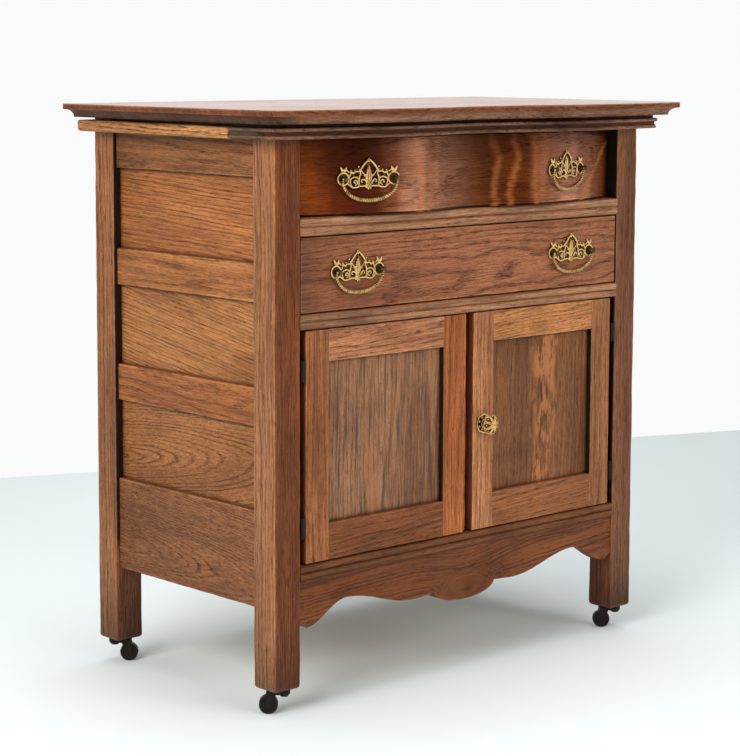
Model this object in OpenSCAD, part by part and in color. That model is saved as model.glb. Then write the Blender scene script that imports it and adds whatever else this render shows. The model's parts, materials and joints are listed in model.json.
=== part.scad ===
/* [Case] */
// Width across the outer faces of the posts
case_w = 694; // [660:1:760]
// Depth from the front faces to the rear faces of the posts
case_d = 384; // [350:1:440]
// Side of a square post
post_w = 42.5; // [40:0.5:48]
// Thickness of the front and back rails
rail_t = 20; // [18:0.5:21]
// Length of a tenon
tenon_l = 18; // [12:0.5:19]
// Thickness of a tenon
tenon_t = 8; // [6:0.5:8]
// Shoulder above and below a tenon
tenon_shoulder = 6; // [5.5:0.5:7]

/* [Top and mouldings] */
// Thickness of the top
top_t = 18.5; // [14:0.5:24]
// Height of the square edge of the top, above its cove
top_edge_h = 8; // [5:0.5:10]
// Depth of the cove under the edge of the top
top_cove = 15; // [8:0.5:18]
// Overhang of the top past the posts at each side
top_side = 49.5; // [42:0.5:56]
// Overhang of the top past the posts at the middle of the front
top_front = 45; // [40:0.5:52]
// Overhang of the top past the posts at the back
top_back = 4; // [0:0.5:10]
// Length of the clipped front corners of the top, along each edge
top_clip = 16; // [10:0.5:20]
// Height of the moulding under the top
moulding_h = 19.5; // [18:0.5:24]
// Projection of the moulding past the posts
moulding_out = 23; // [18:0.5:28]
// Radius of the lower bead of the moulding
bead_r = 4.2; // [3.5:0.1:5]
// Radius of the upper bead of the moulding
top_bead_r = 3.2; // [2.5:0.1:3.6]
// Length of the moulding's clipped front corners, along each edge
moulding_clip = 9; // [4:0.5:12]
// Length of the front stub that is left of the broken left moulding
stub_l = 46; // [30:1:80]
// Depth of the jagged break in the left moulding
break_depth = 14; // [6:1:20]

/* [Serpentine front] */
// Distance of each swell of the top from its middle
swell_x = 168; // [140:1:190]
// Height of each swell of the top over its middle
swell = 24; // [12:1:28]
// Sharpness of the fall from a swell of the top to its corner
fall_power = 1.8; // [1.5:0.1:2.4]
// Projection of the top's and moulding's corners over their middle
corner_out = 5; // [2:0.5:8]
// Distance of each swell of the upper drawer from its middle
drawer_swell_x = 125; // [115:1:145]
// Height of each swell of the upper drawer over its middle
drawer_swell = 22; // [12:1:24]
// Sharpness of the fall from a swell of the upper drawer to its end
drawer_fall_power = 1.4; // [1.3:0.1:1.8]
// Set-back of the upper drawer's ends behind the middle of its front
drawer_end_in = 20; // [10:1:24]

/* [Front openings] */
// Height of the base rail over the leg bottoms
base_rail_up = 141.5; // [120:0.5:160]
// Height of the base rail
base_rail_h = 20; // [18:0.5:26]
// Height of the cabinet opening
door_open_h = 307; // [280:1:340]
// Height of the rail over the doors
door_rail_h = 20.4; // [18:0.2:26]
// Height of the lower drawer opening
lower_open_h = 99.6; // [84:0.2:120]
// Height of the rail between the drawers
drawer_rail_h = 24; // [20:0.5:30]
// Height of the upper drawer opening
upper_open_h = 101.5; // [84:0.5:120]
// Projection of the rails' beads past the posts
rail_bead = 2.5; // [1:0.5:4]
// Width of the gap beside and above a drawer front, and under the lower one
drawer_gap = 1.5; // [1:0.1:2]
// Width of the gap under the front of the upper drawer, which has sunk on its worn runners
sunk_gap = 0.5; // [0.4:0.1:1]

/* [Side frames] */
// Thickness of a side rail
side_rail_t = 18; // [16:0.5:20]
// Set-back of the side rails behind the faces of the posts
side_rail_in = 5.7; // [3:0.1:8]
// Height of the two middle side rails
side_rail_h = 50; // [40:0.5:60]
// Height of the top side rail below the moulding
side_top_rail_h = 49.5; // [30:0.5:60]
// Height of the bottom side rail
side_bottom_rail_h = 127.5; // [90:0.5:140]
// Height of the bottom side rail over the leg bottoms
side_bottom_up = 105.5; // [95:0.5:120]
// Thickness of a side panel
panel_t = 8; // [6:0.5:9]
// Set-back of the side panels behind the faces of the posts
panel_in = 12; // [10.5:0.5:13]
// Depth of a panel's tongue in its groove
tongue = 5; // [4:0.5:5]

/* [Apron] */
// Thickness of the apron
apron_t = 18; // [15:0.5:20]
// Set-back of the apron behind the faces of the posts
apron_in = 2; // [1:0.5:4]
// Distance of the arch crowns from the middle
arch_x = 222; // [200:1:235]
// Depth of the apron at the arch crowns
arch_drop = 35; // [25:1:45]
// Distance of the lower scallops from the middle
scallop_x = 97; // [85:1:110]
// Depth of the apron at the scallops
scallop_drop = 58.5; // [50:0.5:64]
// Depth of the apron at the middle lobe
lobe_drop = 74; // [66:0.5:82]
// Distance of the middle lobe's cusps from the middle
cusp_x = 58; // [48:1:66]
// Depth of the apron at the cusps
cusp_drop = 56; // [48:0.5:60]
// Depth of the apron at its end points
tip_drop = 64; // [55:0.5:75]
// Distance of the end points from the posts
tip_in = 13; // [8:0.5:20]

/* [Drawers] */
// Thickness of a drawer front
front_t = 22; // [20:0.5:26]
// Thickness of a drawer side and back
side_t = 12; // [10:0.5:14]
// Thickness of a drawer bottom
bottom_t = 6; // [4:0.5:8]
// Height of a drawer side under its front's height
side_drop = 16; // [10:0.5:24]
// Distance from the back of a drawer to the back rails
drawer_back_gap = 17; // [8:0.5:30]
// Length of the tails that join a drawer side to its front
tail_l = 14; // [10:0.5:16]
// Number of tails at a corner
tails = 4; // [3:1:5]
// Depth of the grooves that hold a drawer bottom
groove = 5; // [4:0.5:7]
// Gap between a drawer and its runners
run_gap = 0.3; // [0.2:0.1:0.5]

/* [Pulls] */
// Distance of the upper left pull from the middle of the front
upper_left_pull_x = 197; // [190:1:206]
// Distance of the upper right pull from the middle of the front
upper_right_pull_x = 176; // [172:1:190]
// Distance of each lower pull from the middle of the front
lower_pull_x = 206; // [196:1:215]
// Height of the upper pulls' bails over the rail under their drawer
upper_pull_up = 47.7; // [42:0.1:54]
// Height of the lower pulls' bails over the rail under their drawer
lower_pull_up = 51.3; // [44:0.1:56]
// Distance between the two posts of a pull
pull_bore = 77; // [70:1:84]
// Thickness of a pull's plate
plate_t = 2; // [1.5:0.1:3]
// Distance from a plate's back to the bail's axis
bail_off = 9; // [8.5:0.5:12]
// Radius of a bail's rod
bail_r = 2.4; // [1.8:0.1:2.6]
// Drop of a bail below its axis
bail_drop = 29; // [24:0.5:33]
// Radius of a bail's pins
bail_pin_r = 1.4; // [1.2:0.1:1.6]
// Radius of a pull post's head
boss_r = 3.6; // [3.4:0.1:4.2]
// Radius of a pull post's shank
shank_r = 2.2; // [1.8:0.1:2.6]

/* [Doors] */
// Thickness of a door
door_t = 20; // [18:0.5:22]
// Width of a door stile
stile_w = 40; // [36:0.5:48]
// Height of a door's top rail
door_top_rail = 42; // [34:0.5:50]
// Height of a door's bottom rail
door_bottom_rail = 48.5; // [40:0.5:60]
// Gap between a door and its post, where the hinge sits
hinge_gap = 10; // [9:0.5:12]
// Width of the gap between the doors
meeting_gap = 17; // [14:0.5:20]
// Distance of the left door's edge from the middle
left_edge_x = 6; // [4:0.5:8]
// Width of the lip that closes the gap between the doors
lip_w = 11; // [8:0.5:12]
// Set-back of the lip behind the faces of the doors
lip_in = 8; // [6:0.5:9]
// Thickness of the lip
lip_t = 10; // [8:0.5:11]
// Set-back of a door panel behind the face of the door
door_panel_in = 8; // [6:0.5:9]
// Gap above and below a door
door_gap = 1.5; // [1:0.1:2]

/* [Hinges and knob] */
// Height of a hinge
hinge_h = 27; // [24:0.5:40]
// Outer radius of a hinge's barrel
barrel_r = 3.25; // [2.8:0.05:3.4]
// Radius of a hinge's pin
hinge_pin_r = 1.5; // [1.2:0.1:1.8]
// Thickness of a hinge's leaf
leaf_t = 1.5; // [1.2:0.1:1.6]
// Height of the lower hinges' middles over the base rail
hinge_low = 49; // [40:1:60]
// Distance of the upper hinges' middles below the door rail
hinge_high = 52; // [40:1:60]
// Height of the knob over the base rail
knob_up = 150; // [120:1:180]
// Radius of the knob's plate
knob_plate_r = 14; // [12:0.5:16]
// Radius of the knob's head
knob_r = 12.5; // [10:0.5:14]
// Distance of the knob's head from the face of the door
knob_out = 16; // [13:0.5:20]
// Radius of the knob's spindle
spindle_r = 3.5; // [3:0.1:4]
// Length of the catch behind the door
catch_l = 42; // [40:0.5:46]

/* [Casters] */
// Diameter of a caster wheel
wheel_d = 25; // [20:0.5:30]
// Width of a caster wheel
wheel_w = 13; // [10:0.5:15]
// Distance of the wheel's axle from the swivel's axis
trail = 11.5; // [10:0.5:14]
// Thickness of a caster's horn
horn_t = 5; // [4:0.5:6]
// Radius of a caster's axle
axle_r = 2.2; // [1.8:0.1:2.6]
// Radius of a caster's stem
stem_r = 4; // [3.5:0.1:4.5]
// Length of a caster's stem
stem_l = 34; // [28:1:40]
// Radius of a caster socket's sleeve
sleeve_r = 5.6; // [5.4:0.1:6.2]
// Thickness of a caster socket's flange
flange_t = 1.2; // [1:0.1:2]

/* [Hidden] */

$fn = 32;
// Steps along a serpentine edge
curve_steps = 36;
// Gap between parts that turn or slide past each other
gap = 0.3;
// Radial clearance of a pin or shaft in its bore
fit = 0.05;
// Thickness of the glue in a door's joints, which keeps its pieces separate
glue = 0.05;
// Overshoot of a cut past the faces that it passes through
cut = 1;

half_w = case_w / 2;
inner_x = half_w - post_w;
leg_z = wheel_d + gap + 1.7 + horn_t + gap + flange_t;
base_z = leg_z + base_rail_up;
cabinet_z = base_z + base_rail_h;
door_rail_z = cabinet_z + door_open_h;
lower_z = door_rail_z + door_rail_h;
drawer_rail_z = lower_z + lower_open_h;
upper_z = drawer_rail_z + drawer_rail_h;
moulding_z = upper_z + upper_open_h;
top_z = moulding_z + moulding_h;
top_half = half_w + top_side;
mid_y = (case_d + top_back - top_front - swell) / 2;

side_bottom_z = leg_z + side_bottom_up;
side_top_z = moulding_z - side_top_rail_h;
side_panel_z = side_bottom_z + side_bottom_rail_h;
side_panel_h = (side_top_z - side_panel_z - 2 * side_rail_h) / 3;
side_len = case_d - 2 * post_w;
frame_in_x = half_w - side_rail_in - side_rail_t;

board_t = 9;
back_rail_y = case_d - board_t - rail_t;
back_rail_h = 42;
floor_t = 14;
floor_z = cabinet_z - floor_t;
block_w = 18;
runner_w = 20;
runner_h = 18;
guide_up = 18;

drawer_half = inner_x - drawer_gap;
drawer_back_y = back_rail_y - drawer_back_gap;
lower_face_y = 1;
bottom_up = 8;

hinge_x = inner_x - hinge_gap / 2;
hinge_y = 0.5;
hinge_zs = [cabinet_z + hinge_low, door_rail_z - hinge_high];
door_z = cabinet_z + door_gap;
door_h = door_open_h - 2 * door_gap;
door_y = 0.5;
floor_y = max(rail_t, door_y + door_t + gap);
left_door_x = [-inner_x + hinge_gap, -left_edge_x];
right_door_x = [meeting_gap - left_edge_x, inner_x - hinge_gap];
door_tenon_l = 26;
door_tenon_t = 7;
knob_x = right_door_x[0] + stile_w / 2;
knob_z = cabinet_z + knob_up;
wood_dark = [0.36, 0.19, 0.11];
wood_mid = [0.47, 0.28, 0.16];
wood_pale = [0.62, 0.43, 0.26];
wood_inner = [0.66, 0.52, 0.36];
brass = [0.72, 0.56, 0.22];
iron = [0.13, 0.12, 0.12];

module placed() {
  translate([0, -mid_y, 0]) children();
}

// Swells of the top and of the upper drawer, each as its distance from the middle, its height and its fall
top_swell = [swell_x, swell, fall_power];
front_swell = [drawer_swell_x, drawer_swell, drawer_fall_power];

// Serpentine line: its projection over the middle of the front, at distance u from the middle
function wave(u, crest, half, end) = u < crest[0]
  ? crest[1] * (1 - cos(180 * u / crest[0])) / 2
  : crest[1] + (end - crest[1]) * pow((u - crest[0]) / (half - crest[0]), crest[2]);

function arc(c, r, from, to, steps) = [
  for (i = [0 : steps]) c + r * [cos(from + (to - from) * i / steps), sin(from + (to - from) * i / steps)]
];

// Box from one corner to the other
module box(a, b) {
  translate(a) cube(b - a);
}

// Outline of the top, drawn in by d all round but at the back
module top_outline(d) {
  half = top_half - d;
  clip = top_clip - d * (2 - sqrt(2));
  edge = [
    for (i = [0 : curve_steps])
      let (x = (half - clip) * (2 * i / curve_steps - 1))
        [x, -(top_front - d) - wave(abs(x), top_swell, half, corner_out)]
  ];
  corner_y = -(top_front - d) - corner_out + clip;
  back_y = case_d + top_back - (d > 0 ? min(d, top_back) : 0);
  polygon(concat(edge, [[half, corner_y], [half, back_y], [-half, back_y], [-half, corner_y]]));
}

module top_board() color(wood_dark) placed() {
  steps = 6;
  cove_h = top_t - top_edge_h;
  step_h = cove_h / steps;
  translate([0, 0, top_z + cove_h]) linear_extrude(top_edge_h) top_outline(0);
  for (i = [0 : steps - 1]) {
    h = (i + 0.5) / steps;
    translate([0, 0, top_z + cove_h - (i + 1) * step_h])
      linear_extrude(step_h) top_outline(top_cove * sqrt(1 - pow(1 - h, 2)));
  }
}

// Set-back of the moulding's hollow behind its lower bead, and projection of its upper bead past the lower one
hollow_in = 2.4;
top_bead_out = 2;
bead_steps = 4;

// Layers of a bead round height z, each as its projection past the posts, its foot and its head
function bead_layers(crest, z, r) = [
  for (i = [1 : bead_steps])
    let (a = 90 * (i - 0.5) / bead_steps)
      [crest - r + r * cos(a), z - r * sin(a), z + r * sin(a)]
];
moulding_layers = concat(
  [[moulding_out - bead_r, 0, moulding_h], [moulding_out - hollow_in, bead_r, moulding_h - top_bead_r]],
  bead_layers(moulding_out, bead_r, bead_r),
  bead_layers(moulding_out + top_bead_out, moulding_h - top_bead_r, top_bead_r)
);

// Plan of the front moulding where it reaches p past the posts, with clipped corners
module moulding_plan(p) {
  d = p - moulding_out;
  clip = moulding_clip + d * (2 - sqrt(2));
  edge = [
    for (i = [0 : curve_steps])
      let (x = (half_w + p - clip) * (2 * i / curve_steps - 1))
        [x, -(p - corner_out) - wave(abs(x), top_swell, half_w + moulding_out, corner_out)]
  ];
  polygon(concat(edge, [[half_w + p, clip - p], [half_w + p, 0], [-half_w - p, 0], [-half_w - p, clip - p]]));
}

module front_moulding() color(wood_dark) placed() {
  for (l = moulding_layers)
    translate([0, 0, moulding_z + l[1]]) linear_extrude(l[2] - l[1]) moulding_plan(l[0]);
}

// A side moulding, from the front moulding's return to the back
module side_moulding() {
  translate([half_w, case_d, moulding_z]) rotate([90, 0, 0]) linear_extrude(case_d) {
    square([moulding_out - bead_r, moulding_h]);
    translate([0, bead_r]) square([moulding_out - hollow_in, moulding_h - bead_r - top_bead_r]);
    translate([moulding_out - bead_r, bead_r]) circle(bead_r);
    translate([moulding_out + top_bead_out - top_bead_r, moulding_h - top_bead_r]) circle(top_bead_r);
  }
}

// The space in front of the moulding's jagged break, or behind it; its teeth grow from the post outwards
module break_area(front) {
  steps = 5;
  short_tooth = 0.2;
  growth = 0.15;
  width = moulding_out + 3 * top_bead_out;
  edge = [
    for (i = [0 : steps])
      let (reach = (i % 2 == 0 ? short_tooth : 1) * (0.4 + growth * i))
        [half_w - cut + width * i / steps, stub_l + break_depth * reach]
  ];
  far = front ? -moulding_out : case_d + cut;
  translate([0, 0, moulding_z - cut]) linear_extrude(moulding_h + 2 * cut)
    polygon(concat(edge, [[half_w - cut + width, far], [half_w - cut, far]]));
}

module left_moulding() color(wood_pale) placed() {
  mirror([1, 0, 0]) difference() {
    side_moulding();
    translate([0, gap, 0]) break_area(true);
  }
}

module left_moulding_stub() color(wood_dark) placed() {
  mirror([1, 0, 0]) difference() {
    side_moulding();
    break_area(false);
  }
}

module right_moulding() color(wood_dark) placed() {
  side_moulding();
}

// Side rails as [bottom, height], from the lowest up
side_rails = [
  [side_bottom_z, side_bottom_rail_h],
  [side_panel_z + side_panel_h, side_rail_h],
  [side_panel_z + 2 * side_panel_h + side_rail_h, side_rail_h],
  [side_top_z, top_z - side_top_z]
];
side_panels = [for (i = [0 : 2]) side_panel_z + i * (side_panel_h + side_rail_h)];

// Tenons of a side frame, which lie in the two posts
module side_tenons(grow) {
  x = half_w - side_rail_in - side_rail_t / 2;
  for (r = side_rails)
    for (y = [post_w - tenon_l, case_d - post_w - grow])
      box([x - tenon_t / 2, y, r[0] + tenon_shoulder],
          [x + tenon_t / 2, y + tenon_l + grow, r[0] + r[1] - tenon_shoulder]);
}

// Panels of a side frame, with their tongues
module side_panel_set() {
  for (z = side_panels)
    box([half_w - panel_in - panel_t, post_w - tongue, z - tongue],
        [half_w - panel_in, case_d - post_w + tongue, z + side_panel_h + tongue]);
}

module side_rail_set() {
  difference() {
    union() {
      for (r = side_rails)
        box([frame_in_x, post_w, r[0]], [half_w - side_rail_in, case_d - post_w, r[0] + r[1]]);
      side_tenons(0);
    }
    side_panel_set();
  }
}

// Tenons of the rails that run across the case, at one end of each, a little behind the middle of a rail
tenon_back = 2;
module cross_tenons() {
  y = rail_t / 2 + tenon_back;
  for (r = cross_rails)
    box([inner_x, y - tenon_t / 2, r[0] + tenon_shoulder / 2],
        [inner_x + tenon_l, y + tenon_t / 2, r[0] + r[1] - tenon_shoulder / 2]);
  for (z = back_rail_zs)
    box([inner_x, back_rail_y + rail_t / 2 - tenon_t / 2, z + tenon_shoulder],
        [inner_x + tenon_l, back_rail_y + rail_t / 2 + tenon_t / 2, z + back_rail_h - tenon_shoulder]);
}

cross_rails = [
  [base_z, base_rail_h],
  [door_rail_z, door_rail_h],
  [drawer_rail_z, drawer_rail_h],
  [moulding_z + drawer_gap, moulding_h - drawer_gap]
];
back_rail_zs = [floor_z - back_rail_h, top_z - back_rail_h];

module post(front) {
  y0 = front ? 0 : case_d - post_w;
  difference() {
    box([inner_x, y0, leg_z], [half_w, y0 + post_w, top_z]);
    side_tenons(0);
    side_panel_set();
    cross_tenons();
    translate([half_w - post_w / 2, y0 + post_w / 2, leg_z - cut])
      cylinder(r = sleeve_r + fit, h = socket_l + gap + cut);
  }
}

module post_front_left() color(wood_mid) placed() mirror([1, 0, 0]) post(true);
module post_front_right() color(wood_mid) placed() post(true);
module post_rear_left() color(wood_mid) placed() mirror([1, 0, 0]) post(false);
module post_rear_right() color(wood_mid) placed() post(false);

module left_side_rails() color(wood_mid) placed() mirror([1, 0, 0]) side_rail_set();
module right_side_rails() color(wood_mid) placed() side_rail_set();
module left_side_panels() color(wood_pale) placed() mirror([1, 0, 0]) side_panel_set();
module right_side_panels() color(wood_pale) placed() side_panel_set();

// A rail across the front with two beads and a groove along its face
module beaded_rail(z, h) {
  r = h / 4;
  for (s = [-1, 1])
    intersection() {
      translate([-inner_x, r - rail_bead, z + h / 2 + s * r]) rotate([0, 90, 0])
        cylinder(r = r, h = 2 * inner_x);
      box([-inner_x, -rail_bead, z], [inner_x, r, z + h]);
    }
  box([-inner_x, r - rail_bead, z], [inner_x, rail_t, z + h]);
  rail_tenons(z, h);
}

// The parts of the cross tenons that belong to the front rail at this height
module rail_tenons(z, h) {
  for (s = [0, 1])
    mirror([s, 0, 0]) intersection() {
      cross_tenons();
      box([inner_x, 0, z], [half_w, post_w, z + h]);
    }
}

// Depth of the rail under the top, which the cleats butt against
top_rail_t = rail_t + 10;
module top_front_rail() color(wood_inner) placed() {
  box([-inner_x, 0, moulding_z + drawer_gap], [inner_x, top_rail_t, top_z]);
  rail_tenons(moulding_z, moulding_h);
}

module drawer_rail() color(wood_mid) placed() beaded_rail(drawer_rail_z, drawer_rail_h);
module door_rail() color(wood_mid) placed() beaded_rail(door_rail_z, door_rail_h);
module base_rail() color(wood_mid) placed() beaded_rail(base_z, base_rail_h);

// Half of the apron's lower edge, from the middle outwards, as distance and drop
cusp_flat = 10;
tip_rise = 9;
function blend(a, b, steps) = [
  for (i = [1 : steps])
    let (t = i / steps)
      [a[0] + (b[0] - a[0]) * t, a[1] + (b[1] - a[1]) * (1 - cos(180 * t)) / 2]
];
function apron_edge() = concat(
  [[0, lobe_drop]],
  [for (i = [1 : 6]) let (a = 90 * i / 6) [cusp_x * sin(a), cusp_drop + (lobe_drop - cusp_drop) * cos(a)]],
  [[cusp_x + cusp_flat, cusp_drop + 1]],
  blend([cusp_x + cusp_flat, cusp_drop + 1], [scallop_x, scallop_drop], 3),
  blend([scallop_x, scallop_drop], [arch_x, arch_drop], 9),
  blend([arch_x, arch_drop], [inner_x - tip_in, tip_drop], 7),
  [[inner_x, tip_drop - tip_rise]]
);

module apron() color(wood_mid) placed() {
  half = apron_edge();
  n = len(half);
  outline = concat(
    [[-inner_x, 0]],
    [for (i = [n - 1 : -1 : 1]) [-half[i][0], -half[i][1]]],
    [for (p = half) [p[0], -p[1]]],
    [[inner_x, 0]]
  );
  translate([0, apron_in + apron_t, base_z]) rotate([90, 0, 0]) linear_extrude(apron_t) polygon(outline);
}

module back_rails() color(wood_inner) placed() {
  for (z = back_rail_zs) {
    box([-inner_x, back_rail_y, z], [inner_x, back_rail_y + rail_t, z + back_rail_h]);
    for (s = [0, 1])
      mirror([s, 0, 0]) intersection() {
        cross_tenons();
        box([inner_x, back_rail_y, z], [half_w, case_d, z + back_rail_h]);
      }
  }
}

module back_boards() color(wood_inner) placed() {
  boards = 5;
  w = 2 * inner_x / boards;
  for (i = [0 : boards - 1])
    box([-inner_x + i * w + gap, case_d - board_t, back_rail_zs[0]],
        [-inner_x + (i + 1) * w - gap, case_d, top_z]);
}

module cabinet_floor() color(wood_inner) placed() {
  translate([0, 0, floor_z]) linear_extrude(floor_t) {
    translate([-inner_x, floor_y]) square([2 * inner_x, case_d - board_t - floor_y]);
    translate([-frame_in_x, post_w]) square([2 * frame_in_x, side_len]);
  }
}

module glue_blocks() color(wood_inner) placed() {
  for (s = [0, 1])
    mirror([s, 0, 0])
      box([frame_in_x - block_w, post_w, floor_z - block_w], [frame_in_x, case_d - post_w, floor_z]);
  for (x = [-inner_x / 2, 0, inner_x / 2])
    box([x - 2 * block_w, rail_t, floor_z - 2 * block_w], [x + 2 * block_w, rail_t + block_w, floor_z]);
}

// One runner with the guide beside it
module runner(z) {
  box([inner_x - runner_w, rail_t, z - runner_h], [inner_x, case_d - board_t, z]);
  box([inner_x, post_w, z - runner_h], [frame_in_x, case_d - post_w, z + guide_up]);
}

module drawer_runners() color(wood_inner) placed() {
  for (s = [0, 1])
    mirror([s, 0, 0]) {
      runner(lower_z);
      runner(upper_z);
    }
}

module top_cleats() color(wood_inner) placed() {
  for (s = [0, 1])
    mirror([s, 0, 0])
      box([inner_x - runner_w, top_rail_t, moulding_z + drawer_gap], [inner_x, back_rail_y, top_z]);
}

// Front of the upper drawer: line of its face, and of its back, which is flat at the ends
function upper_face(x) = -wave(abs(x), front_swell, drawer_half, -drawer_end_in);
function upper_inner(x) = abs(x) > drawer_half - side_t
  ? drawer_end_in + front_t
  : min(drawer_end_in + front_t, upper_face(x) + front_t);

function front_line(back) = [
  for (i = [0 : curve_steps])
    let (x = drawer_half * (2 * i / curve_steps - 1))
      [x, back ? upper_inner(x) : upper_face(x)]
];

module upper_front_blank(z, h) {
  face = front_line(false);
  inner = front_line(true);
  n = len(inner);
  translate([0, 0, z]) linear_extrude(h)
    polygon(concat(face, [for (i = [n - 1 : -1 : 0]) inner[i]]));
}

bottom_half = drawer_half - side_t + groove;

// The two sides of a drawer, with the tails that enter its front at front_y
module drawer_side_pair(z, h, front_y) {
  pitch = h / tails;
  root = pitch * 0.22;
  tip = pitch * 0.36;
  for (s = [0, 1])
    mirror([s, 0, 0]) {
      box([drawer_half - side_t, front_y, z], [drawer_half, drawer_back_y, z + h]);
      for (i = [0 : tails - 1])
        translate([drawer_half - side_t, front_y, z + (i + 0.5) * pitch])
          rotate([90, 0, 90]) linear_extrude(side_t)
            polygon([[-tail_l, -tip], [0, -root], [0, root], [-tail_l, tip]]);
    }
}

module drawer_bottom_slot(z) {
  box([-bottom_half, 0, z + bottom_up], [bottom_half, drawer_back_y, z + bottom_up + bottom_t]);
}

upper_box_z = upper_z + run_gap;
lower_box_z = lower_z + run_gap;
upper_side_h = upper_open_h - side_drop;
lower_side_h = lower_open_h - side_drop;
upper_join_y = drawer_end_in + front_t;
lower_join_y = lower_face_y + front_t;
front_edge = [
  for (i = [0 : curve_steps])
    let (x = bottom_half * (2 * i / curve_steps - 1))
      [x, min(upper_join_y, upper_face(x) + front_t) - groove]
];

module upper_bottom_panel() {
  translate([0, 0, upper_box_z + bottom_up]) linear_extrude(bottom_t)
    polygon(concat(front_edge, [[bottom_half, drawer_back_y], [-bottom_half, drawer_back_y]]));
}

module lower_bottom_panel() {
  box([-bottom_half, lower_join_y - groove, lower_box_z + bottom_up],
      [bottom_half, drawer_back_y, lower_box_z + bottom_up + bottom_t]);
}

// Place and angle of a pull on the upper drawer, from the slope of its face, at the left (-1) or the right (1)
slope_step = 4;
function upper_pull_x(side) = side < 0 ? upper_left_pull_x : upper_right_pull_x;
function pull_angle(side) =
  let (x = upper_pull_x(side))
    atan((upper_face(x + slope_step) - upper_face(x - slope_step)) / (2 * slope_step));
upper_pull_z = upper_z + upper_pull_up;
lower_pull_z = lower_z + lower_pull_up;
// Height of a flat plate's back over the round front behind its middle
plate_seat = 0.1;

// Puts a pull, drawn with its bail's axis along X and its plate's back at y = 0, on the upper front
module on_upper(side) {
  x = upper_pull_x(side);
  translate([side * x, upper_face(x) - plate_seat, upper_pull_z])
    rotate(side * pull_angle(side)) children();
}

module on_lower(side) {
  translate([side * lower_pull_x, lower_face_y, lower_pull_z]) children();
}

// A pierced plate: a ring round each post, a crown of arches between them and a leaf in the middle. The right
// half of its edge and its piercings are drawn for a bore of 77, outwards from the middle of the bail's axis
drawn_bore = 77;
ring_r = 10;
ring_w = 3;
ring_out = 1;
crown_h = 27;
leaf_drop = 15;
// Thickness of the sunk floor of a ring, round its post
hollow_t = 0.8;
crown_edge = [
  [4.5, -11], [12, -10.8], [24.6, -12.5], [34.5, -7], [32, 5], [28, 11], [24, 9.8],
  [20.7, 11.5], [15.7, 16.5], [13, 14.5], [7, 20.7], [3, 22.5]
];
horns = [[-7, 6], [-3.5, 18.5], [0, 15], [3.5, 18.5], [7, 6]];
beside_leaf = [[2.4, 6], [2.2, 15.5], [6, 17], [12.5, 10], [11, 5], [6, 5.8]];
inner_volute = [[6, -3.5], [6.8, 1.8], [10, 3], [14.4, 1.2], [14, -4.2], [9.5, -6]];
outer_volute = [[17, -1], [19, 1.2], [25, 1], [28.5, -2], [27, -8], [19, -8]];
eyelet = [18.8, 5.2];
eyelet_r = 2.5;
module pull_plate() {
  unit = pull_bore / drawn_bore;
  ring_x = pull_bore / 2 + ring_out;
  n = len(crown_edge);
  outline = unit * concat(
    [[0, -leaf_drop]], crown_edge, [[0, crown_h]],
    [for (i = [n - 1 : -1 : 0]) [-crown_edge[i][0], crown_edge[i][1]]]
  );
  rotate([90, 0, 0]) {
    linear_extrude(plate_t) difference() {
      union() {
        polygon(outline);
        for (s = [0, 1])
          mirror([s, 0]) translate([ring_x, 0]) {
            circle(ring_r);
            polygon(unit * horns);
          }
      }
      for (s = [0, 1])
        mirror([s, 0]) {
          translate([ring_x, 0]) circle(ring_r - ring_w);
          polygon(unit * beside_leaf);
          polygon(unit * inner_volute);
          polygon(unit * outer_volute);
          translate(unit * eyelet) circle(unit * eyelet_r);
        }
    }
    for (s = [0, 1])
      mirror([s, 0, 0]) linear_extrude(hollow_t) difference() {
        translate([ring_x, 0]) circle(ring_r - ring_w / 2);
        translate([pull_bore / 2, 0]) circle(shank_r + fit);
      }
  }
}

// A post with the bored head that holds the bail, its shank through the front and its nut at nut_y behind
nut_t = 3;
nut_r = 5;
head_w = 1.4 * boss_r;
module pull_post(nut_y) {
  difference() {
    union() {
      translate([0, -plate_t - gap / 3, 0]) rotate([90, 0, 0])
        cylinder(r = boss_r - 1, h = bail_off - plate_t);
      translate([-head_w / 2, -bail_off, 0]) rotate([0, 90, 0]) cylinder(r = boss_r, h = head_w);
      translate([0, nut_y + nut_t, 0]) rotate([90, 0, 0]) cylinder(r = shank_r, h = nut_y + nut_t + bail_off);
      translate([0, nut_y + nut_t, 0]) rotate([90, 0, 0]) cylinder(r = nut_r, h = nut_t - gap, $fn = 6);
    }
    translate([-head_w, -bail_off, 0]) rotate([0, 90, 0]) cylinder(r = bail_pin_r + fit, h = 2 * head_w);
  }
}

// A bail: an arc of rod between two arms, which clears the posts' heads, with a pin at each end in its post's head
arm_l = boss_r + 4.4;
module bail() {
  half = pull_bore / 2 + head_w / 2 + gap + bail_r;
  arc_drop = bail_drop - arm_l;
  r = (half * half + arc_drop * arc_drop) / (2 * arc_drop);
  spread = asin(half / r);
  pin_l = bail_r + gap + head_w / 2;
  translate([0, -bail_off, 0]) {
    translate([0, 0, r - bail_drop]) rotate([90, 0, 0]) rotate(-90 - spread)
      rotate_extrude(angle = 2 * spread, $fn = 96) translate([r, 0]) circle(bail_r);
    for (s = [-1, 1]) {
      translate([s * half, 0, -arm_l]) cylinder(r = bail_r, h = arm_l);
      translate([s * half, 0, 0]) sphere(bail_r);
      translate([s * half, 0, -arm_l]) sphere(bail_r);
      translate([s * half - (s > 0 ? pin_l : 0), 0, 0]) rotate([0, 90, 0])
        cylinder(r = bail_pin_r, h = pin_l);
    }
  }
}

// Bores in a drawer front for the shanks of a pull's posts
module shank_bores() {
  for (s = [-1, 1])
    translate([s * pull_bore / 2, 3 * front_t, 0]) rotate([90, 0, 0])
      cylinder(r = shank_r + fit, h = 6 * front_t);
}

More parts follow.
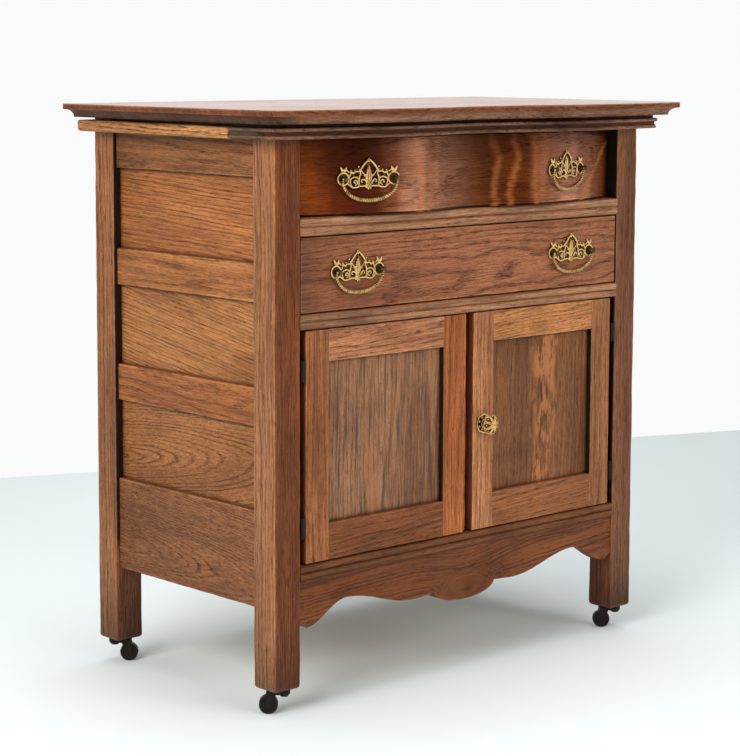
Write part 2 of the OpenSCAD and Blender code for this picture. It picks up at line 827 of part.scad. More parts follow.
module upper_drawer_front() color(wood_dark) placed() {
  difference() {
    upper_front_blank(upper_z + sunk_gap, upper_open_h - sunk_gap - drawer_gap);
    drawer_side_pair(upper_box_z, upper_side_h, upper_join_y);
    upper_bottom_panel();
    for (side = [-1, 1])
      on_upper(side) shank_bores();
  }
}

module upper_drawer_sides() color(wood_inner) placed() {
  difference() {
    drawer_side_pair(upper_box_z, upper_side_h, upper_join_y);
    drawer_bottom_slot(upper_box_z);
  }
}

module drawer_back(z, h) {
  half = drawer_half - side_t;
  box([-half, drawer_back_y - side_t, z + bottom_up + bottom_t], [half, drawer_back_y, z + h]);
}

module upper_drawer_back() color(wood_inner) placed() drawer_back(upper_box_z, upper_side_h);
module upper_drawer_bottom() color(wood_inner) placed() upper_bottom_panel();

module upper_pull_plates() color(brass) placed() {
  for (side = [-1, 1])
    on_upper(side) pull_plate();
}

// Distance from a plate's back to the nut of an upper pull's post, on the inner side (-1) or the outer side (1):
// the front's back is curved there, and the nut clears its nearest point
function nut_seat(side, s) =
  let (mid = upper_pull_x(side), a = pull_angle(side))
    gap + max([
      for (i = [-nut_r : nut_r])
        let (x = mid + (s * pull_bore / 2 + i) * cos(a) - front_t * sin(a))
          (upper_inner(x) - upper_face(mid) + plate_seat) * cos(a) - (x - mid) * sin(a)
    ]);

module upper_pull_posts() color(iron) placed() {
  for (side = [-1, 1])
    on_upper(side)
      for (s = [-1, 1])
        translate([s * pull_bore / 2, 0, 0]) pull_post(nut_seat(side, side * s));
}

module upper_left_bail() color(brass) placed() on_upper(-1) bail();
module upper_right_bail() color(brass) placed() on_upper(1) bail();

module lower_drawer_front() color(wood_dark) placed() {
  difference() {
    box([-drawer_half, lower_face_y, lower_z + drawer_gap],
        [drawer_half, lower_join_y, lower_z + lower_open_h - drawer_gap]);
    drawer_side_pair(lower_box_z, lower_side_h, lower_join_y);
    lower_bottom_panel();
    for (side = [-1, 1])
      on_lower(side) shank_bores();
  }
}

module lower_drawer_sides() color(wood_inner) placed() {
  difference() {
    drawer_side_pair(lower_box_z, lower_side_h, lower_join_y);
    drawer_bottom_slot(lower_box_z);
  }
}

module lower_drawer_back() color(wood_inner) placed() drawer_back(lower_box_z, lower_side_h);
module lower_drawer_bottom() color(wood_inner) placed() lower_bottom_panel();

module lower_pull_plates() color(brass) placed() {
  for (side = [-1, 1])
    on_lower(side) pull_plate();
}

module lower_pull_posts() color(iron) placed() {
  for (side = [-1, 1])
    on_lower(side)
      for (s = [-1, 1])
        translate([s * pull_bore / 2, 0, 0]) pull_post(front_t);
}

module lower_left_bail() color(brass) placed() on_lower(-1) bail();
module lower_right_bail() color(brass) placed() on_lower(1) bail();

// Panel of a door, with its tongues; x is the door's left and right edges
module door_panel(x) {
  box([x[0] + stile_w - tongue, door_y + door_panel_in, door_z + door_bottom_rail - tongue],
      [x[1] - stile_w + tongue, door_y + door_panel_in + panel_t, door_z + door_h - door_top_rail + tongue]);
}

// Tenons of a door's rails, inside its stiles, grown by g all round for their mortises
module door_tenons(x, g) {
  y = door_y + door_t / 2 + 2;
  for (r = [[0, door_bottom_rail], [door_h - door_top_rail, door_top_rail]])
    for (x0 = [x[0] + stile_w - door_tenon_l, x[1] - stile_w])
      box([x0 - g, y - door_tenon_t / 2 - g, door_z + r[0] + tenon_shoulder - g],
          [x0 + door_tenon_l + g, y + door_tenon_t / 2 + g, door_z + r[0] + r[1] - tenon_shoulder + g]);
}

module door_frame(x) {
  difference() {
    for (x0 = [x[0], x[1] - stile_w])
      box([x0, door_y, door_z], [x0 + stile_w, door_y + door_t, door_z + door_h]);
    door_tenons(x, glue);
    door_panel(x);
  }
  difference() {
    union() {
      for (r = [[0, door_bottom_rail], [door_h - door_top_rail, door_top_rail]])
        box([x[0] + stile_w + glue, door_y, door_z + r[0]],
            [x[1] - stile_w - glue, door_y + door_t, door_z + r[0] + r[1]]);
      door_tenons(x, 0);
    }
    door_panel(x);
  }
}

module left_door_frame() color(wood_mid) placed() door_frame(left_door_x);
module left_door_panel() color(wood_pale) placed() door_panel(left_door_x);

module left_door_lip() color(wood_mid) placed() {
  box([left_door_x[1], door_y + lip_in, door_z],
      [left_door_x[1] + lip_w, door_y + lip_in + lip_t, door_z + door_h]);
}

module right_door_frame() color(wood_mid) placed() {
  difference() {
    door_frame(right_door_x);
    translate([knob_x, door_y + door_t + cut, knob_z]) rotate([90, 0, 0])
      cylinder(r = spindle_r + fit, h = door_t + 2 * cut);
  }
}

module right_door_panel() color(wood_pale) placed() door_panel(right_door_x);

// The outer knuckles of a hinge with its pin, and the leaf on the post at +X
module case_leaf() {
  knuckle = hinge_h / 3;
  for (s = [-1, 1]) {
    translate([0, 0, s * knuckle - knuckle / 2]) cylinder(r = barrel_r, h = knuckle);
    box([0, hinge_web_y, s * knuckle - knuckle / 2],
        [hinge_gap / 2 - leaf_t / 2, hinge_web_y + leaf_t, s * knuckle + knuckle / 2]);
  }
  translate([0, 0, -hinge_h / 2]) cylinder(r = hinge_pin_r, h = hinge_h);
  box([hinge_gap / 2 - leaf_t, hinge_web_y, -hinge_h / 2], [hinge_gap / 2, door_t - 1, hinge_h / 2]);
}

// The middle knuckle of a hinge and the leaf on the door at -X
module door_leaf() {
  knuckle = hinge_h / 3 - 2 * gap;
  difference() {
    union() {
      translate([0, 0, -knuckle / 2]) cylinder(r = barrel_r, h = knuckle);
      box([-hinge_gap / 2 + leaf_t / 2, hinge_web_y, -knuckle / 2], [0, hinge_web_y + leaf_t, knuckle / 2]);
      box([-hinge_gap / 2, barrel_r + gap, -hinge_h / 2], [-hinge_gap / 2 + leaf_t, door_t - 1, hinge_h / 2]);
      box([-hinge_gap / 2, hinge_web_y, -knuckle / 2], [-hinge_gap / 2 + leaf_t, door_t - 1, knuckle / 2]);
    }
    translate([0, 0, -hinge_h]) cylinder(r = hinge_pin_r + fit, h = 2 * hinge_h);
  }
}
hinge_web_y = barrel_r - leaf_t;

module at_hinges(side) {
  mirror([side < 0 ? 1 : 0, 0, 0])
    for (z = hinge_zs)
      translate([hinge_x, hinge_y, z]) children();
}

module hinge_case_leaves() color(iron) placed() {
  for (side = [-1, 1])
    at_hinges(side) case_leaf();
}

module left_door_hinges() color(iron) placed() at_hinges(-1) door_leaf();
module right_door_hinges() color(iron) placed() at_hinges(1) door_leaf();

petals = 8;
petal_r = 3.5;
module knob_plate() color(brass) placed() {
  translate([knob_x, door_y, knob_z]) rotate([90, 0, 0]) difference() {
    linear_extrude(plate_t) {
      circle(knob_plate_r - petal_r);
      for (i = [0 : petals - 1])
        rotate(i * 360 / petals) translate([knob_plate_r - petal_r, 0]) circle(petal_r);
    }
    translate([0, 0, -cut]) cylinder(r = spindle_r + fit, h = plate_t + 2 * cut);
  }
}

// The knob: a domed head on a neck, with the spindle that passes through the door
catch_t = 3;
neck_r = 4.5;
foot_r = 7;
head_t = 7;
crown_t = 2.5;
module knob() color(brass) placed() {
  neck_l = knob_out / 3;
  tail = door_t + gap + catch_t;
  head = arc([knob_r - head_t / 2, head_t / 2], head_t / 2, -80, 80, 8);
  translate([knob_x, door_y, knob_z]) rotate([90, 0, 0]) {
    translate([0, 0, -tail]) cylinder(r = spindle_r, h = tail + knob_out);
    translate([0, 0, plate_t + gap]) cylinder(r1 = foot_r, r2 = neck_r, h = neck_l);
    translate([0, 0, knob_out - head_t / 2]) rotate_extrude()
      polygon(concat([[0, 0], [neck_r, 0]], head, [[0, head_t + crown_t]]));
  }
}

hub_r = 8;
catch_w = 10;
module catch() color(iron) placed() {
  translate([knob_x, door_y + door_t + gap, knob_z]) rotate([-90, 0, 0]) difference() {
    union() {
      cylinder(r = hub_r, h = catch_t);
      translate([-catch_w / 2, 0, 0]) cube([catch_w, catch_l, catch_t]);
    }
    translate([0, 0, -cut]) cylinder(r = spindle_r + fit / 5, h = catch_t + 2 * cut);
  }
}

// Rest angle of each caster about its stem, and its place
caster_angles = [138, 138, -42, 30];
caster_ys = [post_w / 2, post_w / 2, case_d - post_w / 2, case_d - post_w / 2];
caster_sides = [-1, 1, -1, 1];

module at_caster(i) {
  translate([caster_sides[i] * (half_w - post_w / 2), caster_ys[i], 0]) rotate(caster_angles[i]) children();
}

flange_r = 14;
socket_l = stem_l + 5;
module caster_sockets() color(iron) placed() {
  for (i = [0 : 3])
    at_caster(i) difference() {
      union() {
        translate([0, 0, leg_z - flange_t]) cylinder(r = flange_r, h = flange_t);
        translate([0, 0, leg_z - flange_t]) cylinder(r = sleeve_r, h = socket_l + flange_t);
      }
      translate([0, 0, leg_z - flange_t - cut]) cylinder(r = stem_r + fit, h = stem_l + 2 + cut);
    }
}

// Horn: stem, domed plate under the leg with its round tail, and two cheeks down to the axle
cheek_t = 2.5;
tail_w = 16;
tail_out = 17;
tail_drop = 4;
tail_foot_r = 5;
eye_r = 4.5;
module caster_horn() {
  plate_z = leg_z - flange_t - gap - horn_t;
  half = wheel_w / 2 + gap;
  eye = arc([0, wheel_d / 2], eye_r, 10, -190, 8);
  translate([0, 0, plate_z]) cylinder(r = stem_r, h = horn_t + gap + stem_l);
  translate([0, 0, plate_z]) cylinder(r1 = 11, r2 = 9, h = horn_t);
  translate([tail_w / 2 - tail_out, 0, 0]) {
    translate([0, 0, plate_z]) cylinder(r = tail_w / 2, h = horn_t - 1);
    translate([0, 0, plate_z - tail_drop]) cylinder(r1 = tail_foot_r, r2 = tail_w / 2, h = tail_drop);
  }
  box([0, -half - cheek_t, plate_z], [trail + 3, half + cheek_t, plate_z + horn_t - 1]);
  for (s = [-1, 1])
    translate([trail, s * (half + cheek_t / 2) + cheek_t / 2, 0]) rotate([90, 0, 0]) linear_extrude(cheek_t)
      polygon(concat([[1 - trail, plate_z + 1], [3, plate_z + 1]], eye));
  translate([trail, half + cheek_t, wheel_d / 2]) rotate([90, 0, 0])
    cylinder(r = axle_r, h = 2 * (half + cheek_t));
}

module caster_wheel() {
  tread_r = 2;
  rim = wheel_d / 2 - tread_r;
  translate([trail, wheel_w / 2, wheel_d / 2]) rotate([90, 0, 0]) rotate_extrude($fn = 48)
    polygon(concat([[axle_r + fit, 0]], arc([rim, tread_r], tread_r, -90, 0, 4),
                   arc([rim, wheel_w - tread_r], tread_r, 0, 90, 4), [[axle_r + fit, wheel_w]]));
}

module caster_horn_front_left() color(iron) placed() at_caster(0) caster_horn();
module caster_horn_front_right() color(iron) placed() at_caster(1) caster_horn();
module caster_horn_rear_left() color(iron) placed() at_caster(2) caster_horn();
module caster_horn_rear_right() color(iron) placed() at_caster(3) caster_horn();
module caster_wheel_front_left() color("dimgray") placed() at_caster(0) caster_wheel();
module caster_wheel_front_right() color("dimgray") placed() at_caster(1) caster_wheel();
module caster_wheel_rear_left() color("dimgray") placed() at_caster(2) caster_wheel();
module caster_wheel_rear_right() color("dimgray") placed() at_caster(3) caster_wheel();

top_board();
front_moulding();
left_moulding();
left_moulding_stub();
right_moulding();
post_front_left();
post_front_right();
post_rear_left();
post_rear_right();
left_side_rails();
right_side_rails();
left_side_panels();
right_side_panels();
top_front_rail();
drawer_rail();
door_rail();
base_rail();
apron();
back_rails();
back_boards();
cabinet_floor();
glue_blocks();
drawer_runners();
top_cleats();
hinge_case_leaves();
caster_sockets();
upper_drawer_front();
upper_drawer_sides();
upper_drawer_back();
upper_drawer_bottom();
upper_pull_plates();
upper_pull_posts();
upper_left_bail();
upper_right_bail();
lower_drawer_front();
lower_drawer_sides();
lower_drawer_back();
lower_drawer_bottom();
lower_pull_plates();
lower_pull_posts();
lower_left_bail();
lower_right_bail();
left_door_frame();
left_door_panel();
left_door_lip();
left_door_hinges();
right_door_frame();
right_door_panel();
right_door_hinges();
knob_plate();
knob();
catch();
caster_horn_front_left();
caster_horn_front_right();
caster_horn_rear_left();
caster_horn_rear_right();
caster_wheel_front_left();
caster_wheel_front_right();
caster_wheel_rear_left();
caster_wheel_rear_right();
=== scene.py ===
import json
from math import ceil, cos, dist, exp, hypot, pi, radians, sin, sqrt, tanh

import bmesh
import bpy
from mathutils import Matrix, Vector, noise


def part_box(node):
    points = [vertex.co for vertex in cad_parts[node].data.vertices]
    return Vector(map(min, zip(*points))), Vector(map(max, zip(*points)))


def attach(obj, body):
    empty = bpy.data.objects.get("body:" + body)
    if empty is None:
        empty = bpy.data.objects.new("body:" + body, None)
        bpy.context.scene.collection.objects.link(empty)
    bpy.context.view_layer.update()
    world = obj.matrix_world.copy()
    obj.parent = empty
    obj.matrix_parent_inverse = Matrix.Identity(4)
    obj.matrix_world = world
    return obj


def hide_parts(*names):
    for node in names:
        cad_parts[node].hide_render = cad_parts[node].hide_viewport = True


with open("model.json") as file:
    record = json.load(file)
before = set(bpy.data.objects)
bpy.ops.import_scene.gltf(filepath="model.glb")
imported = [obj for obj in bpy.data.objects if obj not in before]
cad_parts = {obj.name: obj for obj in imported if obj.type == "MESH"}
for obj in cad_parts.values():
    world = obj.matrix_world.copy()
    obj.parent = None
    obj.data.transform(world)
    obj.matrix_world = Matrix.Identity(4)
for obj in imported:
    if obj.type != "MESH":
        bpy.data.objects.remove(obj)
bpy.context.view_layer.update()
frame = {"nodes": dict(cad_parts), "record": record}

MM = 0.001
X, Y, Z = 0, 1, 2
UP = Vector((0, 0, 1))


# Small sums that everything below uses
def spread(start, stop, steps):
    """Evenly spaced numbers from start to stop."""
    return [start + (stop - start) * i / steps for i in range(steps + 1)]


def angles(start, stop, steps):
    """Evenly spaced angles, given in degrees."""
    return [radians(t) for t in spread(start, stop, steps)]


def ease(share):
    """From 0 to 1, level at both ends."""
    return (1 - cos(pi * share)) / 2


def limit(value, low=0.0, high=1.0):
    return min(high, max(low, value))


def blend(one, other, share):
    """A colour between two others."""
    return tuple(a + (b - a) * share for a, b in zip(one, other))


def shaded(colour, light):
    return tuple(c * light for c in colour)


def uneven(*at):
    """Smooth noise from about -1 to 1."""
    return noise.noise(Vector(at))


def add_object(name, data, matrix=None):
    thing = bpy.data.objects.new(name, data)
    if matrix is not None:
        thing.matrix_world = matrix
    bpy.context.scene.collection.objects.link(thing)
    return thing


# The camera, fitted to the photograph of 740 by 756 pixels, in metres and degrees
CAMERA_AT = Vector((-2.1309, -2.2708, 0.8590))
CAMERA_YAW, CAMERA_PITCH, CAMERA_ROLL = 42.689, -6.577, 0.194
CAMERA_LENS, CAMERA_SHIFT_Y = 107.146, -0.100


def make_camera():
    yaw, pitch, roll = radians(CAMERA_YAW), radians(CAMERA_PITCH), radians(CAMERA_ROLL)
    ahead = Vector((sin(yaw) * cos(pitch), cos(yaw) * cos(pitch), sin(pitch)))
    right = Vector((cos(yaw), -sin(yaw), 0))
    up = right.cross(ahead)
    right, up = right * cos(roll) + up * sin(roll), up * cos(roll) - right * sin(roll)
    data = bpy.data.cameras.new("camera")
    data.lens, data.sensor_fit, data.shift_y = CAMERA_LENS, "HORIZONTAL", CAMERA_SHIFT_Y
    turn = Matrix((right, up, -ahead)).transposed().to_4x4()
    bpy.context.scene.camera = add_object("camera", data, Matrix.Translation(CAMERA_AT) @ turn)


make_camera()
bpy.context.scene.view_settings.view_transform = "Standard"


class Graph:
    """The nodes of a material or of the world, with short calls for what is used often."""

    def __init__(self, owner, shader="ShaderNodeBsdfPrincipled", output="ShaderNodeOutputMaterial"):
        owner.use_nodes = True
        self.owner, self.tree = owner, owner.node_tree
        self.tree.nodes.clear()
        self.shader = self.node(shader)
        self.node(output, {0: self.shader.outputs[0]})

    def node(self, kind, inputs=None, **settings):
        made = self.tree.nodes.new(kind)
        for key, value in settings.items():
            setattr(made, key, value)
        self.fill(made, inputs or {})
        return made

    def fill(self, node, inputs):
        """Gives a node's inputs their values or links, by name or number."""
        for key, value in inputs.items():
            socket = node.inputs[key]
            if isinstance(value, bpy.types.NodeSocket):
                self.tree.links.new(value, socket)
            else:
                socket.default_value = (*value, 1) if socket.type == "RGBA" else value

    def math(self, operation, a, b=0.0, clamp=False):
        return self.node("ShaderNodeMath", {0: a, 1: b}, operation=operation, use_clamp=clamp).outputs[0]

    def times(self, a, b):
        return self.math("MULTIPLY", a, b)

    def plus(self, a, b):
        return self.math("ADD", a, b)

    def most(self, *values):
        total = values[0]
        for value in values[1:]:
            total = self.math("MAXIMUM", total, value)
        return total

    def seen_by(self, *rays):
        """1 for rays of these kinds, 0 for all others."""
        path = self.node("ShaderNodeLightPath").outputs
        return self.most(*(path[ray] for ray in rays))

    def attribute(self, name, output="Fac"):
        return self.node("ShaderNodeAttribute", attribute_name=name).outputs[output]

    def place(self):
        return self.node("ShaderNodeTexCoord").outputs["Object"]

    def noise(self, vector, factors, detail, roughness=0.5):
        at = self.node("ShaderNodeVectorMath", {0: vector, 1: factors}, operation="MULTIPLY").outputs[0]
        inputs = {"Vector": at, "Scale": 1.0, "Detail": detail, "Roughness": roughness}
        return self.node("ShaderNodeTexNoise", inputs).outputs["Fac"]

    def sway(self, vector, factors, detail, roughness=0.5):
        """Noise about 0."""
        return self.plus(self.noise(vector, factors, detail, roughness), -0.5)

    def step(self, value, low, high, to_low=0.0, to_high=1.0):
        inputs = {"Value": value, "From Min": low, "From Max": high, "To Min": to_low, "To Max": to_high}
        return self.node("ShaderNodeMapRange", inputs, interpolation_type="SMOOTHSTEP").outputs[0]

    def mix(self, share, a, b, blend_type="MIX"):
        inputs = {0: share, 6: a, 7: b}
        return self.node("ShaderNodeMix", inputs, data_type="RGBA", blend_type=blend_type).outputs[2]

    def layers(self, colour, *pairs):
        """Lays one colour after another over the first, each as (share, colour)."""
        for share, layer in pairs:
            colour = self.mix(share, colour, layer)
        return colour

    def finish(self, height, **inputs):
        """Bump by a height in metres, and the shader's inputs with _ for each space."""
        normal = self.node("ShaderNodeBump", {"Distance": 1.0, "Strength": 1.0, "Height": height}).outputs[0]
        self.fill(self.shader, {"Normal": normal, **{key.replace("_", " "): v for key, v in inputs.items()}})
        return self.owner


# Room: a pale floor that ends where the photograph's wall begins. The world stands for the wall.
FLOOR_COLOUR = (0.80, 0.86, 0.86)
FLOOR_GLOW = 0.04
WALL_COLOUR = (0.945, 0.965, 0.960)
WALL_LINE = Vector((0.283, 1.444, 0)), Vector((1.855, 0.803, 0))
FLOOR_REACH, FLOOR_DEPTH = 3.6, 5.2
SKY_COLOUR, SKY_STRENGTH = (0.93, 0.96, 1.0), 0.34
# Each lamp's name, place, aim, size, power, colour, and whether mirrors show it
LAMPS = (("key", (-3.4, -0.9, 2.3), (0, 0, 0.45), (2.2, 2.0), 128, (1.0, 0.98, 0.95), False),
         ("front", (0.4, -3.8, 1.9), (0, 0, 0.4), (2.6, 1.6), 66, (1.0, 0.99, 0.97), False),
         ("overhead", (0.2, 0.2, 3.4), (0, 0, 0), (2.4, 2.4), 66, (0.97, 0.99, 1.0), True))


def make_floor():
    along = (WALL_LINE[1] - WALL_LINE[0]).normalized()
    near_a, near_b = WALL_LINE[0] - along * FLOOR_REACH, WALL_LINE[1] + along * FLOOR_REACH
    front = Vector((along.y, -along.x, 0)) * FLOOR_DEPTH
    mesh = bpy.data.meshes.new("floor")
    mesh.from_pydata([near_a, near_a + front, near_b + front, near_b], [], [(0, 1, 2, 3)])
    s = Graph(bpy.data.materials.new("floor_paper"), "ShaderNodeMixShader")
    s.fill(s.shader, {
        0: s.times(s.seen_by("Is Camera Ray", "Is Glossy Ray", "Is Transmission Ray"), FLOOR_GLOW),
        1: s.node("ShaderNodeBsdfDiffuse", {"Color": FLOOR_COLOUR}).outputs[0],
        2: s.node("ShaderNodeEmission", {"Color": FLOOR_COLOUR}).outputs[0]})
    mesh.materials.append(s.owner)
    floor = add_object("floor", mesh)


def make_light():
    world = bpy.context.scene.world = bpy.data.worlds.new("world")
    s = Graph(world, "ShaderNodeMixShader", "ShaderNodeOutputWorld")
    s.fill(s.shader, {
        0: s.seen_by("Is Camera Ray", "Is Glossy Ray"),
        1: s.node("ShaderNodeBackground", {"Color": SKY_COLOUR, "Strength": SKY_STRENGTH}).outputs[0],
        2: s.node("ShaderNodeBackground", {"Color": WALL_COLOUR}).outputs[0]})
    for name, at, towards, size, power, colour, mirrored in LAMPS:
        data = bpy.data.lights.new(name, "AREA")
        data.shape = "RECTANGLE"
        data.size, data.size_y = size
        data.energy, data.color = power, colour
        turn = (Vector(towards) - Vector(at)).to_track_quat("-Z", "Y").to_matrix().to_4x4()
        lamp = add_object(name, data, Matrix.Translation(at) @ turn)
        lamp.visible_camera, lamp.visible_glossy = False, mirrored


make_floor()
make_light()


# Materials
def oak(name, ring=3.6, rings=0.6, pores=0.6, warp=5.0, streaks=0.35, rough=0.46, coat=0.0, wear=0.6,
        stain=0.35, relief=1.0, shine=0.22, extra=None):
    """Oak, cut from a tree. The attribute grain is a point's place in the tree, with the pith as first axis.
    The attribute tone is the board's own colour, with painted light and shade in places, and wear is 1 at a
    worn edge and under 0 in dirt and in painted shade of recesses and hollows."""
    s = Graph(bpy.data.materials.new(name))
    grain, tone, edge = s.attribute("grain", "Vector"), s.attribute("tone", "Color"), s.attribute("wear")
    _, across, deep = s.node("ShaderNodeSeparateXYZ", {0: grain}).outputs
    radius = s.math("SQRT", s.plus(s.times(across, across), s.times(deep, deep)))
    bent = s.plus(s.times(s.sway(grain, (4.5, 20, 20), 2), 2 * warp * MM),
                  s.times(s.sway(grain, (26, 150, 150), 2), 1.7 * MM))
    count = s.math("DIVIDE", s.plus(radius, bent), ring * MM)
    turn = s.math("FRACT", count)
    own = s.node("ShaderNodeTexNoise", {"W": s.times(count, 0.43), "Scale": 1.0}, noise_dimensions="1D")
    early = s.most(s.step(turn, 0.0, 0.42, 1.0, 0.0), s.step(turn, 0.88, 1.0))
    early = s.times(early, s.step(own.outputs["Fac"], 0.32, 0.62, 0.25, 1.0))
    pore = s.step(s.noise(grain, (70, 900, 900), 2, 0.6), 0.48, 0.62)
    pore = s.times(pore, s.plus(s.times(early, 0.75), 0.5))
    fine = s.noise(grain, (17, 540, 540), 5, 0.78)
    broad = s.noise(grain, (2.6, 14, 14), 3, 0.55)
    streak = s.noise(grain, (5.5, 130, 130), 4, 0.7)
    place = s.place()
    blotch, speck = s.noise(place, (7, 7, 7), 3, 0.6), s.noise(place, (95, 95, 95), 3, 0.6)
    grit = s.noise(place, (520, 520, 520), 2, 0.6)
    dark = (0.36, 0.29, 0.25)
    colour = s.layers(
        s.mix(s.step(broad, 0.38, 0.62), (0.94, 0.90, 0.86), (1.44, 1.47, 1.48)),
        (s.times(early, rings), dark),
        (s.step(fine, 0.36, 0.54, 0.66, 0.0), dark),
        (s.step(fine, 0.52, 0.68, 0.0, 0.42), (1.75, 1.80, 1.85)),
        (s.step(streak, 0.50, 0.66, 0.0, streaks), (0.40, 0.33, 0.30)),
        (s.step(streak, 0.32, 0.48, streaks * 0.7, 0.0), (1.60, 1.60, 1.58)),
        (s.math("MULTIPLY", pore, pores, True), (0.20, 0.15, 0.13)),
        (s.step(grit, 0.34, 0.50, 0.35, 0.0), dark))
    colour = s.mix(1.0, colour, tone, "MULTIPLY")
    if extra:
        colour = extra(s, colour, grain)
    # Grime darkens random stains, and where wear is under 0 it is dirt and painted shade in recesses and
    # hollows
    grime_and_shade = s.mix(1.0, tone, (0.13, 0.11, 0.12), "MULTIPLY")
    colour = s.mix(s.step(blotch, 0.50, 0.78, 0.0, stain), colour, grime_and_shade)
    speckled = s.times(edge, s.plus(s.times(speck, 1.4), 0.5))
    worn = s.mix(1.0, colour, (1.50, 1.70, 1.88), "MULTIPLY")
    colour = s.layers(colour, (s.step(speckled, 0.25, 1.05, 0.0, wear), worn),
                      (s.step(s.times(speckled, -1.0), 0.05, 1.1, 0.0, 0.85), grime_and_shade))
    height = s.plus(s.times(pore, -0.00022 * relief), s.times(early, -0.00010 * relief))
    height = s.plus(s.plus(height, s.times(fine, 0.00010 * relief)), s.times(blotch, 0.0009))
    gloss = s.plus(s.times(pore, 0.22), s.step(blotch, 0.35, 0.75, rough - 0.05, rough + 0.1))
    return s.finish(height, Base_Color=colour, Roughness=gloss, Coat_Weight=coat, Coat_Roughness=COAT_ROUGH,
                    Specular_IOR_Level=shine)


COAT_ROUGH = 0.24
# Upright light flames of a veneer, as (place along it, width, strength, slant)
FLAMES = ((-116, 14, 0.60, 0.10), (-96, 8, 0.45, 0.05), (45, 10, 0.48, 0.05), (74, 9, 0.54, -0.06),
          (108, 9, 0.45, 0.12), (274, 9, 0.75, -0.9), (236, 6, 0.35, -0.7))


def flame(s, colour, grain):
    """Light flames, fainter towards the top, over slow dark shades."""
    along, up, _ = s.node("ShaderNodeSeparateXYZ", {0: grain}).outputs
    at = s.plus(along, s.times(s.sway(grain, (7, 17, 1), 3, 0.6), 0.036))
    at = s.plus(at, s.times(s.sway(grain, (60, 160, 1), 3, 0.7), 0.012))
    shares = []
    for x, width, strength, slant in FLAMES:
        far = s.math("ABSOLUTE", s.plus(s.plus(at, s.times(up, slant)), -x * MM))
        shares.append(s.step(far, 0.0, width * MM, strength, 0.0))
    feather = s.step(s.noise(grain, (40, 420, 1), 3, 0.7), 0.30, 0.60, 0.35, 1.0)
    share = s.times(s.times(s.most(*shares), feather), s.step(up, -0.010, 0.045, 1.0, 0.3))
    shade = s.step(s.noise(grain, (17, 3.2, 1), 2), 0.42, 0.60, 0.45, 0.0)
    return s.layers(colour, (shade, (0.050, 0.013, 0.005)), (share, (0.42, 0.138, 0.040)))


def blaze(s, colour, grain):
    """A ragged orange figure up the middle of a panel."""
    across = s.node("ShaderNodeSeparateXYZ", {0: grain}).outputs[1]
    far = s.math("ABSOLUTE", s.plus(across, s.times(s.sway(grain, (12, 30, 1), 3, 0.65), 0.075)))
    patchy = s.step(s.noise(grain, (22, 75, 1), 4, 0.7), 0.44, 0.56)
    return s.mix(s.times(s.step(far, 0.006, 0.034, 0.9, 0.0), patchy), colour, (0.42, 0.155, 0.055))


def grey_streaks(s, colour, grain):
    """Warm bands and long grey-black stains along the grain."""
    warm = s.step(s.noise(grain, (5, 30, 30), 3, 0.6), 0.50, 0.66, 0.0, 0.5)
    stain = s.step(s.noise(grain, (5, 130, 130), 5, 0.75), 0.53, 0.64, 0.0, 0.85)
    return s.layers(colour, (warm, (0.38, 0.145, 0.060)), (stain, (0.065, 0.046, 0.036)))


def metal(name, bright, dull, rough, level=0.5, metallic=1.0):
    """Aged cast metal: bright where the attribute wear is high, dark in its hollows."""
    s = Graph(bpy.data.materials.new(name))
    place = s.place()
    cloud, grit = s.noise(place, (140, 140, 140), 4, 0.65), s.noise(place, (900, 900, 900), 3, 0.6)
    height = s.plus(s.attribute("wear"), s.times(s.plus(cloud, -0.5), 0.9))
    share = s.step(height, level - 0.35, level + 0.35)
    colour = s.layers(dull, (share, bright), (s.step(grit, 0.55, 0.75, 0.0, 0.5), shaded(dull, 0.5)))
    gloss = s.plus(s.times(cloud, 0.25), s.step(share, 0, 1, rough + 0.12, rough - 0.1))
    return s.finish(s.plus(s.times(grit, 0.00006), s.times(cloud, 0.00018)), Base_Color=colour,
                    Metallic=metallic, Roughness=gloss)


def plain_wood(name, along):
    """Unfinished pine, with the grain along one axis of the object."""
    light, mid, dark = (0.55, 0.37, 0.21), (0.42, 0.26, 0.14), (0.16, 0.085, 0.04)
    s = Graph(bpy.data.materials.new(name))
    place = s.place()
    factors = tuple(4.0 if k == along else 120.0 for k in range(3))
    streak, fibre = s.noise(place, factors, 4, 0.6), s.noise(place, shaded(factors, 6), 2, 0.6)
    blotch = s.noise(place, (6, 6, 6), 3, 0.6)
    colour = s.layers(mid, (s.step(streak, 0.35, 0.65), light), (s.step(fibre, 0.5, 0.75, 0.0, 0.5), dark),
                      (s.step(blotch, 0.45, 0.8, 0.0, 0.5), shaded(mid, 0.4)))
    return s.finish(s.plus(s.times(streak, 0.0004), s.times(fibre, 0.0002)), Base_Color=colour,
                    Roughness=s.step(blotch, 0.3, 0.7, 0.55, 0.75))


OAK = oak("oak", 3.0, 0.6, 0.8, streaks=0.5)
OAK_FIGURED = oak("oak_figured", 4.4, 0.85, 0.7, streaks=0.15, wear=0.3)
OAK_PANEL = oak("oak_door_panel", 6.5, 0.55, 0.6, warp=8, streaks=0.8, wear=0.3, extra=grey_streaks)
OAK_VENEER = oak("oak_veneer", 5.0, 0.55, 0.8, warp=9, streaks=0.25, rough=0.36, stain=0.45)
OAK_APRON = oak("oak_apron", 3.4, 0.9, 0.9, warp=6, streaks=0.75, rough=0.4, stain=0.55)
OAK_FLAME = oak("oak_flame_veneer", 5.0, 0.2, 0.7, streaks=0.2, rough=0.34, stain=0.3, relief=0.5, shine=0.04,
                extra=flame)
OAK_BLAZE = oak("oak_blaze_panel", 7.0, 0.25, 0.7, warp=8, streaks=0.5, wear=0.3, extra=blaze)
OAK_TOP = oak("oak_top", 4.4, 0.5, 0.5, rough=0.32, coat=0.8, relief=0.4)
OAK_EDGE = oak("oak_moulding", 3.0, 0.5, 0.8, streaks=0.6, rough=0.5, stain=0.5, shine=0.1)
